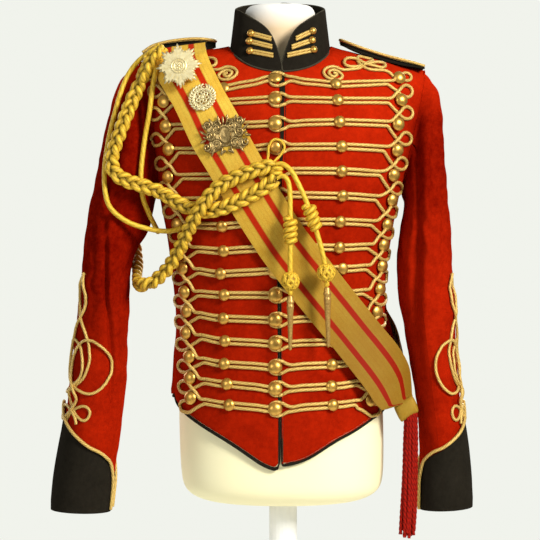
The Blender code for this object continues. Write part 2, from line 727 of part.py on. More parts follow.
def cuff(side, material, collection):
    angles = [-a for a in reversed(CUFF_ANGLES)] + list(CUFF_ANGLES)
    rows = []
    for share in (0, 0.3, 0.65, 1.0):
        row = []
        for phi in angles:
            top = sleeve_v_at(side, phi, cuff_top(phi))
            v = lerp(top, SLEEVE_RINGS, share)
            row.append((sleeve(side, v, phi, CUFF_CLEAR + FACING), sleeve(side, v, phi, CUFF_CLEAR)))
        rows.append(row)
    return wall("cuff_" + SIDE_NAME[side], rows, material, collection)

# ---- collar and shoulder straps ------------------------------------------

COLLAR_TOP = (
    (0.0, 0.840), (3.0, 0.852), (6.0, 0.868), (14.0, 0.8863), (28.0, 0.9004), (38.0, 0.9055),
    (53.0, 0.9145), (72.0, 0.9225), (90.0, 0.928), (130.0, 0.940), (180.0, 0.944),
)
COLLAR_ANGLES = (0.12, 2.0, 4.2, 12.0, 21.0, 32.0, 46.0, 66.0, 90.0, 112.0, 135.0, 158.0, 179.88)
COLLAR_THICK = 2.4 * MM
COLLAR_LEAN = 0.11         # part of its radius that it loses over COLLAR_RISE
COLLAR_RISE = 0.065


def neck_point(side, angle):
    """Neckline at degrees round from the centre front."""
    is_front = angle <= 90
    degrees = angle if is_front else 180 - angle
    height = neck_height(degrees, is_front)
    offset = NECK_RADIUS * math.sin(math.radians(degrees))
    turn = offset_degrees(side, offset, height)
    return body(side * (turn if is_front else 180 - turn), height)


def on_collar(side, angle, share):
    base = neck_point(side, angle) + Vector((0, 0, 0.4 * MM))
    top = table_value(COLLAR_TOP, 1, angle)
    height = lerp(base.z, max(top, base.z + 4 * MM), share)
    shrink = 1 - COLLAR_LEAN * (height - base.z) / COLLAR_RISE
    centre = section(BODY, NECK_TOP).centre
    return Vector((centre + (base.x - centre) * shrink, base.y * shrink, height))


def collar(side, angle, share, lift=0.0):
    if side == LEFT:
        return moved_out(lambda a, b: on_collar(side, a, b), angle, share, 0.05, 0.02, lift)
    return moved_out(lambda a, b: on_collar(side, b, a), share, angle, 0.02, 0.05, lift)


def collar_half(side, material, collection):
    rows = []
    for share in (0.0, 0.2, 0.4, 0.6, 0.8, 1.0):
        rows.append([(collar(side, angle, share), collar(side, angle, share, -COLLAR_THICK))
                     for angle in COLLAR_ANGLES])
    return wall("collar_" + SIDE_NAME[side], rows, material, collection)


def ridge_height(x):
    """Height of the shoulder ridge at a distance from the centre plane."""
    low, high = 0.78, NECK_TOP
    for _ in range(40):
        middle = (low + high) / 2
        s = section(BODY, middle)
        inside = abs(x - s.centre) < (s.left if x > s.centre else s.right)
        low, high = (middle, high) if inside else (low, middle)
    return low


def shoulder_height(x, y):
    """Height of the top of the shoulder at a place seen from above."""
    low, high = 0.70, ridge_height(x)
    for _ in range(40):
        middle = (low + high) / 2
        s = section(BODY, middle)
        half = s.left if x > s.centre else s.right
        ratio = min(abs(x - s.centre) / half, 1.0)
        reach = (s.front if y < 0 else s.back) * (1 - ratio ** s.squareness) ** (1 / s.squareness)
        low, high = (middle, high) if reach > abs(y) else (low, middle)
    return low


STRAP_THICK = 2.6 * MM
STRAP_SEAT = 0.185         # beyond this the strap only follows the fall of the ridge
# distance from the centre plane, half width, lift off the shoulder
STRAP = {
    RIGHT: ((0.203, 0.0235, 5.6), (0.188, 0.0235, 11.6), (0.170, 0.0235, 13.4),
            (0.150, 0.0230, 13.4), (0.132, 0.0225, 12.4), (0.116, 0.0215, 10.0),
            (0.106, 0.0175, 7.5), (0.100, 0.0110, 6.0), (0.0975, 0.0035, 5.6)),
    LEFT: ((0.204, 0.0235, -0.9), (0.188, 0.0235, -0.1), (0.168, 0.0235, 1.2),
           (0.148, 0.0230, 2.2), (0.128, 0.0225, 3.2), (0.108, 0.0215, 4.5),
           (0.094, 0.0175, 6.0), (0.086, 0.0110, 7.0), (0.0825, 0.0035, 7.5)),
}


def strap(side, material, collection):
    rows = []
    for x, half_width, lift in STRAP[side]:
        row = []
        for share in (-1.0, -0.5, 0.0, 0.5, 1.0):
            y = half_width * share
            near = side * min(x, STRAP_SEAT)
            z = shoulder_height(near, y if y else -0.01 * MM)
            z += ridge_height(side * x) - ridge_height(near) + lift * MM
            row.append((Vector((side * x, y, z + STRAP_THICK)), Vector((side * x, y, z))))
        rows.append(row)
    return wall("strap_" + SIDE_NAME[side], rows, material, collection)

# ---- frogging, buttons and flat braids -----------------------------------

TRIM_BASE = 0.95 * MM
Bead = namedtuple("Bead", "arc height radius rise")


def bead_stations(beads, cord_half, cord_rise, span):
    """Stations along a string of beads: (arc, height, half width, rise, direction)."""
    places = [Vector((bead.arc, bead.height)) for bead in beads]
    stations = []
    for k, bead in enumerate(beads):
        here = places[k]
        into = (here - places[k - 1]) if k else (places[1] - here)
        out = (places[k + 1] - here) if k < len(beads) - 1 else into
        gap_in, gap_out = into.length, out.length
        into, out = into.normalized(), out.normalized()
        shoulder = 0.82 * bead.radius
        near = [(-shoulder, into)] if k == 0 or gap_in > shoulder + 0.82 * beads[k - 1].radius else []
        far = []
        if k == len(beads) - 1 or gap_out > shoulder + 0.82 * beads[k + 1].radius:
            far = [(shoulder, out)]
        for distance, heading in near:
            stations.append((here + heading * distance, max(cord_half, bead.radius * 0.55),
                             bead.rise * 0.55, heading))
        stations.append((here, bead.radius, bead.rise, (into + out).normalized()))
        for distance, heading in far:
            stations.append((here + heading * distance, max(cord_half, bead.radius * 0.55),
                             bead.rise * 0.55, heading))
        if k == len(beads) - 1:
            continue
        reach = gap_out - shoulder - 0.82 * beads[k + 1].radius
        if not far:
            middle = (here + places[k + 1]) / 2
            stations.append((middle, cord_half, cord_rise, out))
            continue
        count = int(reach / (span if abs(bead.arc + beads[k + 1].arc) < 0.17 else span * 0.55))
        for step in range(1, count + 1):
            share = (shoulder + reach * step / (count + 1)) / gap_out
            stations.append((here.lerp(places[k + 1], share), cord_half, cord_rise, out))
    return stations


def bead_string(name, beads, material, collection, cord_half=5.8 * MM, cord_rise=CORD_RISE,
                span=0.028):
    """One solid of cord and domed buttons lying on the front, through all its beads."""
    rings = []
    for centre, half, rise, heading in bead_stations(beads, cord_half, cord_rise, span):
        across = Vector((-heading.y, heading.x))
        ring = []
        for side, up in ((-1, 0.0), (-0.9, 0.62), (0, 1.0), (0.9, 0.62), (1, 0.0)):
            spot = centre + across * half * side
            ring.append(body(turn_at_arc(spot.x, spot.y), spot.y, TRIM_BASE + rise * up))
        rings.append(ring)
    return loft(name, rings, material, collection)


def belt_edges_at(height):
    """x of the two edges of the cross-belt at a height, or None clear of it."""
    left = [(row[1], row[0]) for row in reversed(BELT_FRONT)]
    right = [(row[3], row[2]) for row in reversed(BELT_FRONT)]
    return table_value(left, 1, height), table_value(right, 1, height)


def is_under_belt(x, height, radius):
    low, high = belt_edges_at(height)
    return low - radius < x < high + radius


def frog_row(number, row, material, collection):
    (loop_r, end_r, mid_r, centre, mid_l, end_l, loop_l,
     loop_rx, end_rx, mid_rx, mid_lx, end_lx, loop_lx) = (value * MM for value in row)
    spots = (
        (-loop_rx, loop_r, LOOP_RADIUS, CORD_RISE * 0.9),
        (-end_rx, end_r, BUTTON_RADIUS, BUTTON_RISE),
        (-mid_rx, mid_r, BUTTON_RADIUS, BUTTON_RISE),
        (CENTRE_BUTTON_X, centre, CENTRE_RADIUS, BUTTON_RISE),
        (mid_lx, mid_l, BUTTON_RADIUS, BUTTON_RISE),
        (end_lx, end_l, BUTTON_RADIUS, BUTTON_RISE),
        (loop_lx, loop_l, LOOP_RADIUS, CORD_RISE * 0.9),
    )
    beads = []
    for x, height, radius, rise in spots:
        if is_under_belt(x, height, radius):
            rise = min(rise, CORD_RISE)
        beads.append(Bead(arc_at_x(x, height), height, radius, rise))
    return bead_string("frog_row_%02d" % number, beads, material, collection)


# shoulder braid: distance from the centre plane, lowest and highest edge
SHOULDER_BRAID = {
    LEFT: ((0.0575, 0.8225, 0.8290), (0.0640, 0.8200, 0.8330), (0.0760, 0.8205, 0.8340),
           (0.0870, 0.8280, 0.8350), (0.1000, 0.8290, 0.8430), (0.1150, 0.8300, 0.8480),
           (0.1300, 0.8300, 0.8480), (0.1440, 0.8300, 0.8420), (0.1530, 0.8290, 0.8350)),
    RIGHT: ((0.0640, 0.8250, 0.8300), (0.0700, 0.8200, 0.8340), (0.0800, 0.8190, 0.8360),
            (0.0880, 0.8240, 0.8400)),
}
BRAID_RISE = 4.5 * MM


def shoulder_braid(side, material, collection):
    rings = []
    for x, low, high in SHOULDER_BRAID[side]:
        ring = []
        for share, up in ((0.0, 0.0), (0.1, 1.0), (0.5, 1.0), (0.9, 1.0), (1.0, 0.0), (0.5, 0.0)):
            ring.append(front(side * x, lerp(low, high, share), TRIM_BASE + BRAID_RISE * up))
        rings.append(ring)
    return loft("shoulder_braid_" + SIDE_NAME[side], rings, material, collection)


# sleeve knot: height and half width in degrees about its middle line
SLEEVE_KNOT = (
    (0.546, 3.0), (0.520, 13.0), (0.500, 20.0), (0.483, 9.0), (0.466, 26.0), (0.452, 52.0),
    (0.434, 78.0), (0.412, 90.0), (0.396, 84.0), (0.384, 66.0), (0.373, 60.0),
)
KNOT_MIDDLE = 10.0
KNOT_RING = ((-1, 0), (-0.97, 1), (-0.75, 1), (-0.5, 1), (-0.25, 1), (0, 1), (0.25, 1), (0.5, 1),
             (0.75, 1), (0.97, 1), (1, 0), (0.75, 0), (0.5, 0), (0.25, 0), (0, 0), (-0.25, 0),
             (-0.5, 0), (-0.75, 0))
KNOT_RISE = 4.0 * MM
KNOT_BASE = 1.55 * MM


def sleeve_knot(side, material, collection):
    rings = []
    for height, half in SLEEVE_KNOT:
        ring = []
        for share, up in KNOT_RING:
            phi = KNOT_MIDDLE + half * share
            v = sleeve_v_at(side, phi, height)
            ring.append(sleeve(side, v, phi, KNOT_BASE + KNOT_RISE * up))
        rings.append(ring)
    return loft("sleeve_knot_" + SIDE_NAME[side], rings, material, collection)


# collar braid bars: share of the collar's height at the button and at the front
# end, and the degrees round the neck of both
COLLAR_BARS = (
    (0.72, 0.80, 34.0, 15.5),
    (0.54, 0.60, 33.0, 12.0),
    (0.37, 0.42, 33.0, 9.5),
)
BAR_HALF = 2.5 * MM
BAR_RISE = 1.6 * MM
COLLAR_BUTTON = 4.6 * MM
COLLAR_BUTTON_RISE = 4.5 * MM
COLLAR_CLEAR = 0.5 * MM


def collar_bar(side, number, bar, material, collection):
    """A flat braid bar with its small domed button at the outer end."""
    share_button, share_end, angle_button, angle_end = bar
    degree = NECK_RADIUS * math.radians(1) * 1.1     # length of one degree of collar
    rise_of = 0.055                                  # height that a share of 1 stands for
    out = COLLAR_BUTTON / degree
    stations = (
        (angle_button + out * 0.85, 0.5, 0.35), (angle_button, 1.0, 1.0),
        (angle_button - out * 0.85, 0.55, 0.45), (angle_button - out * 1.2, 0.0, 0.0),
        (lerp(angle_button, angle_end, 0.65), 0.0, 0.0), (angle_end, 0.0, 0.0),
    )
    rings = []
    for angle, grow, lift in stations:
        along = (angle_button - angle) / (angle_button - angle_end)
        middle = lerp(share_button, share_end, along)
        half = lerp(BAR_HALF, COLLAR_BUTTON, grow) / rise_of
        rise = lerp(BAR_RISE, COLLAR_BUTTON_RISE, lift)
        ring = []
        for across, up in ((-1, 0.0), (-0.85, 0.7), (0, 1.0), (0.85, 0.7), (1, 0.0)):
            ring.append(collar(side, angle, middle + half * across, COLLAR_CLEAR + rise * up))
        rings.append(ring)
    name = "collar_bar_%s_%d" % (SIDE_NAME[side], number)
    return loft(name, rings, material, collection)

# ---- cross-belt, badges, keeper and tassel -------------------------------

ACROSS = (0.0, 0.25, 0.5, 0.75, 1.0)


def on_girth(x, height):
    """Front surface that the belt lies on, held off the waist by the flared skirt."""
    s = section(BODY, height)
    offset = x - s.centre
    half = s.left if offset > 0 else s.right
    if offset > 0 and height < BELT_GIRTH[-1][0]:
        half = max(half, table_value(BELT_GIRTH, 1, height) - s.centre)
    ratio = min(abs(offset) / half, 0.9999)
    return Vector((x, -s.front * (1 - ratio ** s.squareness) ** (1 / s.squareness), height))


def over_front(x, height, lift):
    return moved_out(on_girth, x, height, 0.5 * MM, 0.5 * MM, lift)


def over_shoulder(x, y, lift):
    """Point lying over the shoulder, by its place seen from above."""
    point = Vector((x, y, shoulder_height(x, y)))
    step = 1.0 * MM
    slope_x = (shoulder_height(x + step, y) - shoulder_height(x - step, y)) / (2 * step)
    slope_y = (shoulder_height(x, y + step) - shoulder_height(x, y - step)) / (2 * step)
    return point + Vector((-slope_x, -slope_y, 1)).normalized() * lift


def halfway_rows(rows):
    """The table's rows with one more between each two, for a smoother strip."""
    filled = [rows[0]]
    for k in range(1, len(rows)):
        before, after = rows[max(k - 2, 0)], rows[min(k + 1, len(rows) - 1)]
        middle = [(9 * (a + b) - c - d) / 16
                  for a, b, c, d in zip(rows[k - 1], rows[k], before, after)]
        filled += [tuple(middle), rows[k]]
    return filled


def belt_row(spots):
    """One row across the belt from (place, lift) callables given the lift."""
    return [(spot(BELT_LIFT + BELT_THICK), spot(BELT_LIFT)) for spot in spots]


def shoulder_row(station, y):
    xs = [lerp(station[1], station[2], share) for share in ACROSS]
    return belt_row([lambda lift, x=x: over_shoulder(x, y, lift) for x in xs])


def belt_front(material, collection):
    rows = []
    for station in BELT_SHOULDER[4:]:
        rows.append(shoulder_row(station, min(station[0], -HALF_SEAM)))
    for left_x, left_z, right_x, right_z in halfway_rows(BELT_FRONT):
        spots = []
        for share in ACROSS:
            x, z = lerp(left_x, right_x, share), lerp(left_z, right_z, share)
            spots.append(lambda lift, x=x, z=z: over_front(x, z, lift))
        rows.append(belt_row(spots))
    return wall("belt_front", rows, material, collection)


def settled(point, turn, height):
    """Turn and height of the place on the body nearest a point, from a first guess."""
    for _ in range(8):
        here = on_section(BODY, turn, height)
        along_turn = (on_section(BODY, turn + 0.2, height) - on_section(BODY, turn - 0.2, height)) / 0.4
        along_height = (on_section(BODY, turn, height + 0.2 * MM)
                        - on_section(BODY, turn, height - 0.2 * MM)) / (0.4 * MM)
        a, b, c = along_turn.dot(along_turn), along_turn.dot(along_height), along_height.dot(along_height)
        first, second = (point - here).dot(along_turn), (point - here).dot(along_height)
        size = a * c - b * b
        turn += (first * c - second * b) / size
        height += (a * second - b * first) / size
    return turn, height


def belt_back(material, collection):
    rows = []
    middles = halfway_rows(BELT_BACK)
    for k, (turn, height) in enumerate(middles):
        before, after = middles[max(k - 1, 0)], middles[min(k + 1, len(middles) - 1)]
        along = (on_section(BODY, *after) - on_section(BODY, *before)).normalized()
        middle = on_section(BODY, turn, height)
        across = along.cross(body(turn, height, MM) - middle).normalized()
        spots = []
        for share in ACROSS:
            edge = middle + across * BELT_WIDTH * (0.5 - share)
            place = settled(edge, turn, height)
            spots.append(lambda lift, place=place: body(place[0], place[1], lift))
        rows.append(belt_row(spots))
    for station in BELT_SHOULDER[:5]:
        rows.append(shoulder_row(station, max(station[0], HALF_SEAM)))
    return wall("belt_back", rows, material, collection)


def tapered_box(name, sections, material, collection):
    """Rounded-corner bar through flat sections: centre, half x, half y, tilt."""
    rings = []
    for (x, y, z), half_x, half_y, tilt in sections:
        ring = []
        for k in range(12):
            angle = 2 * math.pi * k / 12
            across = math.copysign(abs(math.cos(angle)) ** 0.6, math.cos(angle)) * half_x
            deep = math.copysign(abs(math.sin(angle)) ** 0.6, math.sin(angle)) * half_y
            ring.append(Vector((x + across * math.cos(tilt), y + deep, z + across * math.sin(tilt))))
        rings.append(ring)
    return loft(name, rings, material, collection)


KEEPER_TILT = math.radians(32)
KEEPER = (
    ((0.1720, -0.0615, 0.3635), 0.0125, 0.0060, KEEPER_TILT),
    ((0.1765, -0.0610, 0.3550), 0.0130, 0.0078, KEEPER_TILT),
    ((0.1805, -0.0600, 0.3450), 0.0120, 0.0070, KEEPER_TILT),
)
TASSEL = (
    ((0.1808, -0.0600, 0.3443), 0.0090, 0.0060, KEEPER_TILT),
    ((0.1812, -0.0590, 0.3300), 0.0105, 0.0080, KEEPER_TILT * 0.4),
    ((0.1808, -0.0585, 0.2500), 0.0110, 0.0085, 0.0),
    ((0.1795, -0.0580, 0.1900), 0.0125, 0.0090, 0.0),
    ((0.1795, -0.0580, 0.1670), 0.0125, 0.0090, 0.0),
)


def plate_on_belt(name, outline, centre, rise, lift, material, collection):
    """Flat badge lying on the belt: an outline of (x, z) steps about its centre."""
    base = BELT_LIFT + BELT_THICK + lift
    bottom = [over_front(centre[0] + dx, centre[1] + dz, base) for dx, dz in outline]
    shoulder = [over_front(centre[0] + dx * 0.93, centre[1] + dz * 0.93, base + rise * 0.6)
                for dx, dz in outline]
    top = [over_front(centre[0] + dx * 0.45, centre[1] + dz * 0.45, base + rise)
           for dx, dz in outline]
    return loft(name, [bottom, shoulder, top], material, collection, 25.0)


def star_outline(points, outer, inner):
    outline = []
    for k in range(points * 2):
        radius = outer if k % 2 == 0 else inner
        angle = math.pi * k / points
        outline.append((radius * math.sin(angle), radius * math.cos(angle)))
    return outline


def oval_outline(half_x, half_z, count, tilt=0.0):
    outline = []
    for k in range(count):
        angle = 2 * math.pi * k / count
        x, z = half_x * math.sin(angle), half_z * math.cos(angle)
        outline.append((x * math.cos(tilt) - z * math.sin(tilt), x * math.sin(tilt) + z * math.cos(tilt)))
    return outline

# ---- cords ---------------------------------------------------------------


def smooth_route(route, spacing):
    """Points at equal steps along a smooth curve through the route."""
    points = [Vector(point) for point in route]
    points = [2 * points[0] - points[1]] + points + [2 * points[-1] - points[-2]]
    dense = []
    for before, start, end, after in zip(points, points[1:], points[2:], points[3:]):
        for step in range(24):
            u = step / 24
            dense.append(0.5 * (2 * start + (end - before) * u
                                + (2 * before - 5 * start + 4 * end - after) * u ** 2
                                + (3 * start - before - 3 * end + after) * u ** 3))
    dense.append(points[-2])
    reach = [0.0]
    for start, end in zip(dense, dense[1:]):
        reach.append(reach[-1] + (end - start).length)
    count = max(round(reach[-1] / spacing), 2)
    even = []
    for k in range(count + 1):
        at = reach[-1] * k / count
        low = min(bisect_right(reach, at) - 1, len(dense) - 2)
        even.append(dense[low].lerp(dense[low + 1], (at - reach[low]) / (reach[low + 1] - reach[low])))
    return even


def cord(name, route, diameter, material, collection, spacing=2.4, swell=None):
    """Round cord along a route; swell gives its thickness along the length."""
    points = smooth_route(route, diameter * spacing)
    curve = bpy.data.curves.new(name, "CURVE")
    curve.dimensions = "3D"
    curve.bevel_depth = diameter / 2
    curve.bevel_resolution = 2
    curve.use_fill_caps = True
    spline = curve.splines.new("POLY")
    spline.points.add(len(points) - 1)
    for k, (spot, point) in enumerate(zip(spline.points, points)):
        spot.co = (*point, 1.0)
        if swell:
            spot.radius = table_value(swell, 1, k / (len(points) - 1))
    curve.materials.append(material)
    thing = bpy.data.objects.new(name, curve)
    collection.objects.link(thing)
    return thing


CUFF_CORD = 4.6 * MM
CUFF_CORD_CLEAR = 2.6 * MM     # between the cuff's edge and the middle of its cord


def cuff_cord(side, material, collection):
    route = []
    for phi in (-172, -160, -144, -124, -102, -80, -60, -40, -22, -8, 0,
                8, 22, 40, 60, 80, 102, 124, 144, 160, 172):
        v = sleeve_v_at(side, phi, cuff_top(phi) + CUFF_CORD_CLEAR)
        point = sleeve(side, v, phi, TRIM_BASE + CUFF_CORD / 2 + 1.8 * MM)
        route.append(point + Vector((0, 0, 1.6 * MM)))
    return cord("cuff_cord_" + SIDE_NAME[side], route, CUFF_CORD, material, collection, 3.2)


PLAIT = 14.0 * MM
LOOSE_CORD = 6.5 * MM
TAIL_CORD = 6.0 * MM

# routes of the aiguillette, from the shoulder knot or from the plaits' meeting
OUTER_CORD = (
    (-0.1940, -0.055, 0.858), (-0.205, -0.051, 0.850), (-0.217, -0.045, 0.837),
    (-0.226, -0.046, 0.820), (-0.233, -0.049, 0.800), (-0.239, -0.050, 0.778),
    (-0.246, -0.050, 0.751), (-0.251, -0.054, 0.722), (-0.254, -0.059, 0.693),
    (-0.252, -0.067, 0.660), (-0.243, -0.073, 0.637), (-0.220, -0.070, 0.619),
    (-0.190, -0.063, 0.609), (-0.166, -0.063, 0.606), (-0.150, -0.077, 0.608),
    (-0.142, -0.089, 0.611),
)
INNER_CORD = (
    (-0.180, -0.060, 0.8490), (-0.182, -0.0625, 0.832), (-0.186, -0.063, 0.806),
    (-0.190, -0.062, 0.775), (-0.196, -0.058, 0.743), (-0.200, -0.060, 0.712),
    (-0.202, -0.062, 0.684), (-0.200, -0.058, 0.656), (-0.192, -0.046, 0.632),
    (-0.184, -0.026, 0.614), (-0.181, -0.006, 0.606),
)
FRONT_PLAIT = (
    (-0.190, -0.0595, 0.846), (-0.202, -0.057, 0.820), (-0.214, -0.060, 0.793),
    (-0.225, -0.066, 0.764), (-0.235, -0.070, 0.735), (-0.242, -0.072, 0.711),
    (-0.239, -0.075, 0.690), (-0.221, -0.078, 0.677), (-0.196, -0.080, 0.669),
    (-0.170, -0.082, 0.659), (-0.144, -0.093, 0.643), (-0.117, -0.103, 0.634),
    (-0.093, -0.120, 0.635), (-0.070, -0.127, 0.643), (-0.036, -0.132, 0.660),
    (-0.011, -0.134, 0.677),
)
BACK_PLAIT = (
    (-0.013, -0.134, 0.696), (-0.036, -0.137, 0.690), (-0.062, -0.134, 0.681),
    (-0.088, -0.129, 0.667), (-0.106, -0.125, 0.650), (-0.119, -0.119, 0.631),
    (-0.132, -0.105, 0.609), (-0.148, -0.084, 0.578), (-0.163, -0.070, 0.554),
    (-0.180, -0.061, 0.538), (-0.197, -0.052, 0.530), (-0.208, -0.036, 0.532),
    (-0.211, -0.012, 0.541), (-0.212, 0.016, 0.553), (-0.216, 0.042, 0.571),
    (-0.221, 0.061, 0.600), (-0.221, 0.078, 0.640), (-0.212, 0.092, 0.688),
    (-0.197, 0.101, 0.740), (-0.180, 0.094, 0.797), (-0.171, 0.072, 0.840),
)
TAIL_1 = (
    (-0.010, -0.134, 0.678), (-0.003, -0.136, 0.681), (0.004, -0.137, 0.677),
    (0.008, -0.137, 0.664), (0.009, -0.138, 0.630), (0.009, -0.138, 0.597),
    (0.009, -0.137, 0.560), (0.009, -0.135, 0.530), (0.009, -0.130, 0.485),
    (0.009, -0.127, 0.440),
)
TAIL_2 = (
    (-0.0115, -0.134, 0.697), (-0.001, -0.137, 0.697), (0.010, -0.140, 0.688),
    (0.018, -0.141, 0.674), (0.027, -0.141, 0.655), (0.037, -0.139, 0.630),
    (0.044, -0.137, 0.608), (0.054, -0.134, 0.572), (0.059, -0.131, 0.542),
    (0.061, -0.126, 0.495), (0.062, -0.122, 0.444),
)
# share of a tail's length, and its thickness in cords: knot, ball and tag
TAIL_SWELL = (
    (0.0, 1.0), (0.26, 1.0), (0.30, 2.7), (0.39, 2.7), (0.43, 1.0), (0.55, 1.0), (0.59, 3.3),
    (0.625, 4.2), (0.66, 3.3), (0.70, 1.4), (0.85, 1.2), (0.96, 0.9), (1.0, 0.4),
)
SHOULDER_KNOT = (
    ((-0.1830, -0.0570, 0.8500), 0.0060, 0.0060, 0.0),
    ((-0.1830, -0.0565, 0.8535), 0.0088, 0.0085, 0.0),
    ((-0.1825, -0.0530, 0.8610), 0.0088, 0.0085, 0.0),
    ((-0.1820, -0.0500, 0.8655), 0.0060, 0.0060, 0.0),
)


def aiguillette(material, collection):
    tapered_box("aig_knot", SHOULDER_KNOT, material, collection)
    cord("aig_plait_front", FRONT_PLAIT, PLAIT, material, collection, 1.8)
    cord("aig_plait_back", BACK_PLAIT, PLAIT, material, collection, 1.8)
    cord("aig_cord_outer", OUTER_CORD, LOOSE_CORD, material, collection)
    cord("aig_cord_inner", INNER_CORD, LOOSE_CORD, material, collection)
    cord("aig_tail_1", TAIL_1, TAIL_CORD, material, collection, 1.5, TAIL_SWELL)
    cord("aig_tail_2", TAIL_2, TAIL_CORD, material, collection, 1.5, TAIL_SWELL)

# ---- stand ---------------------------------------------------------------

POLE_RADIUS = 0.020
BASE_RADIUS = 0.140
BASE_THICK = 0.014
HUB_RADIUS = 0.032
HUB_HEIGHT = 0.026


def form_torso(material, collection):
    rings = []
    steps = 24
    for height in FORM_HEIGHTS:
        rings.append([on_section(FORM, 360 * k / steps - 180 + 0.001, height) for k in range(steps)])
    return loft("form_torso", rings, material, collection, 50.0)


def turned(name, profile, steps, material, collection):
    """Solid of revolution about the vertical axis; the profile runs top to bottom."""
    mesh = bpy.data.meshes.new(name)
    edges = [(k, k + 1) for k in range(len(profile) - 1)]
    mesh.from_pydata([(radius, 0, height) for radius, height in profile], edges, [])
    mesh.materials.append(material)
    thing = bpy.data.objects.new(name, mesh)
    collection.objects.link(thing)
    screw = thing.modifiers.new("turn", "SCREW")
    screw.steps = screw.render_steps = steps
    screw.use_merge_vertices = True
    screw.merge_threshold = MERGE
    screw.use_normal_calculate = True
    screw.use_normal_flip = True
    return thing


def stand(material, collection):
    base = (
        (0.0, HUB_HEIGHT), (HUB_RADIUS - 0.004, HUB_HEIGHT), (HUB_RADIUS, HUB_HEIGHT - 0.004),
        (HUB_RADIUS, BASE_THICK), (BASE_RADIUS - 0.006, BASE_THICK - 0.002),
        (BASE_RADIUS, BASE_THICK - 0.008), (BASE_RADIUS, 0.0), (0.0, 0.0),
    )
    turned("stand_base", base, 40, material, collection)
    bottom, top = HUB_HEIGHT + SEAM, FORM[0][0] - SEAM
    pole = ((0.0, top), (POLE_RADIUS, top), (POLE_RADIUS, bottom), (0.0, bottom))
    turned("stand_pole", pole, 24, material, collection)

# ---- the whole object ----------------------------------------------------


def build():
    clear_scene()
    collection = make_collection("hussar_jacket_on_dress_form")
    material = {name: make_material(name) for name in COLOURS}
    red, black, gold = material["scarlet_cloth"], material["black_cloth"], material["gold_cord"]

    form_torso(material["form_cover"], collection)
    stand(material["stand_paint"], collection)

    for side in (RIGHT, LEFT):
        word = SIDE_NAME[side]
        wall("front_" + word, panel_points(side, True), red, collection)
        wall("back_" + word, panel_points(side, False), red, collection)
        edging(side, black, collection)
        sleeve_piece("sleeve_upper_" + word, side, UPPER_COLUMNS, red, collection)
        sleeve_piece("sleeve_under_" + word, side, UNDER_COLUMNS, red, collection)
        cuff(side, black, collection)
        collar_half(side, black, collection)
        strap(side, black, collection)
        cuff_cord(side, gold, collection)
        shoulder_braid(side, gold, collection)
        sleeve_knot(side, gold, collection)
        for number, bar in enumerate(COLLAR_BARS, 1):
            collar_bar(side, number, bar, gold, collection)

    for number, row in enumerate(FROGS, 1):
        frog_row(number, row, gold, collection)

    lace, badge = material["gold_lace"], material["badge_metal"]
    belt_front(lace, collection)
    belt_back(lace, collection)
    tapered_box("belt_keeper", KEEPER, lace, collection)
    tapered_box("belt_tassel", TASSEL, material["red_cord"], collection)
    plate_on_belt("badge_star", star_outline(8, 0.026, 0.019), (-0.1445, 0.8280), 0.004,
                  1.8 * MM, badge, collection)
    plate_on_belt("badge_wreath", oval_outline(0.019, 0.019, 16), (-0.1130, 0.7915), 0.004,
                  0.9 * MM, badge, collection)
    aiguillette(material["bright_cord"], collection)
    plate_on_belt("badge_plaque", oval_outline(0.033, 0.023, 18, math.radians(-8)),
                  (-0.0810, 0.7380), 0.005, 0.9 * MM, badge, collection)


build()
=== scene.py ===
import math

import bmesh
import bpy
from mathutils import Matrix, Vector, noise
from mathutils.bvhtree import BVHTree
from mathutils.kdtree import KDTree


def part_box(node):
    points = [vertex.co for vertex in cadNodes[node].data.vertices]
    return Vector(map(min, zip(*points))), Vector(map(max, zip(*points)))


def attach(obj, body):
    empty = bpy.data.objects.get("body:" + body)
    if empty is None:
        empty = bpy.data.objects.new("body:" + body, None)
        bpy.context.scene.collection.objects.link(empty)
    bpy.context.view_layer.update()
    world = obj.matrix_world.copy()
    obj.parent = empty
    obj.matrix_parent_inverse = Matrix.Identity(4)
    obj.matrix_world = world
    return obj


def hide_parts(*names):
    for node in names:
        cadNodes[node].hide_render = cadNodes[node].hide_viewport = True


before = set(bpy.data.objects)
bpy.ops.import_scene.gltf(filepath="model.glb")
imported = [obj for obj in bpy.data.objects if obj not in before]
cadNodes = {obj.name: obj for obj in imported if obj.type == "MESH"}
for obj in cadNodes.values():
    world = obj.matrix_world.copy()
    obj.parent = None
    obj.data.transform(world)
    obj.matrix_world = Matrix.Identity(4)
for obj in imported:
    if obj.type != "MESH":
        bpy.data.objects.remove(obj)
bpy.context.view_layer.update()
bpy.ops.object.select_all(action="DESELECT")
print("frame loaded:", len(cadNodes), "nodes")

sides = {"right": -1, "left": 1}      # the wearer's right is -X
mm = 0.001
centreX = -0.0045                     # the middle of the jacket

# camera, lights and floor

stand = {"eye": (-0.019, -2.8, 0.551), "lens": 128.7, "pale": (0.879, 0.896, 0.838, 1.0),
         "fill": 0.30, "floor": 1.02, "fade": 0.55, "aim": (0.0, 0.0, 0.55)}
lights = (                            # place, size, power, colour
    ((1.9, -2.2, 1.9), 0.9, 128, (1.0, 0.97, 0.92)),
    ((-1.7, -2.4, 1.2), 1.2, 20, (0.95, 0.97, 1.0)),
    ((0.9, 2.3, 1.7), 1.4, 50, (1.0, 0.98, 0.95)),
    ((-1.9, 1.9, 1.3), 1.4, 26, (0.97, 0.98, 1.0)),
)

bpy.ops.object.camera_add(location=stand["eye"], rotation=(math.radians(90), 0, 0))
camera = bpy.context.object
camera.data.lens = stand["lens"]
camera.data.clip_end = 50
bpy.context.scene.camera = camera
bpy.context.scene.view_settings.view_transform = "Standard"

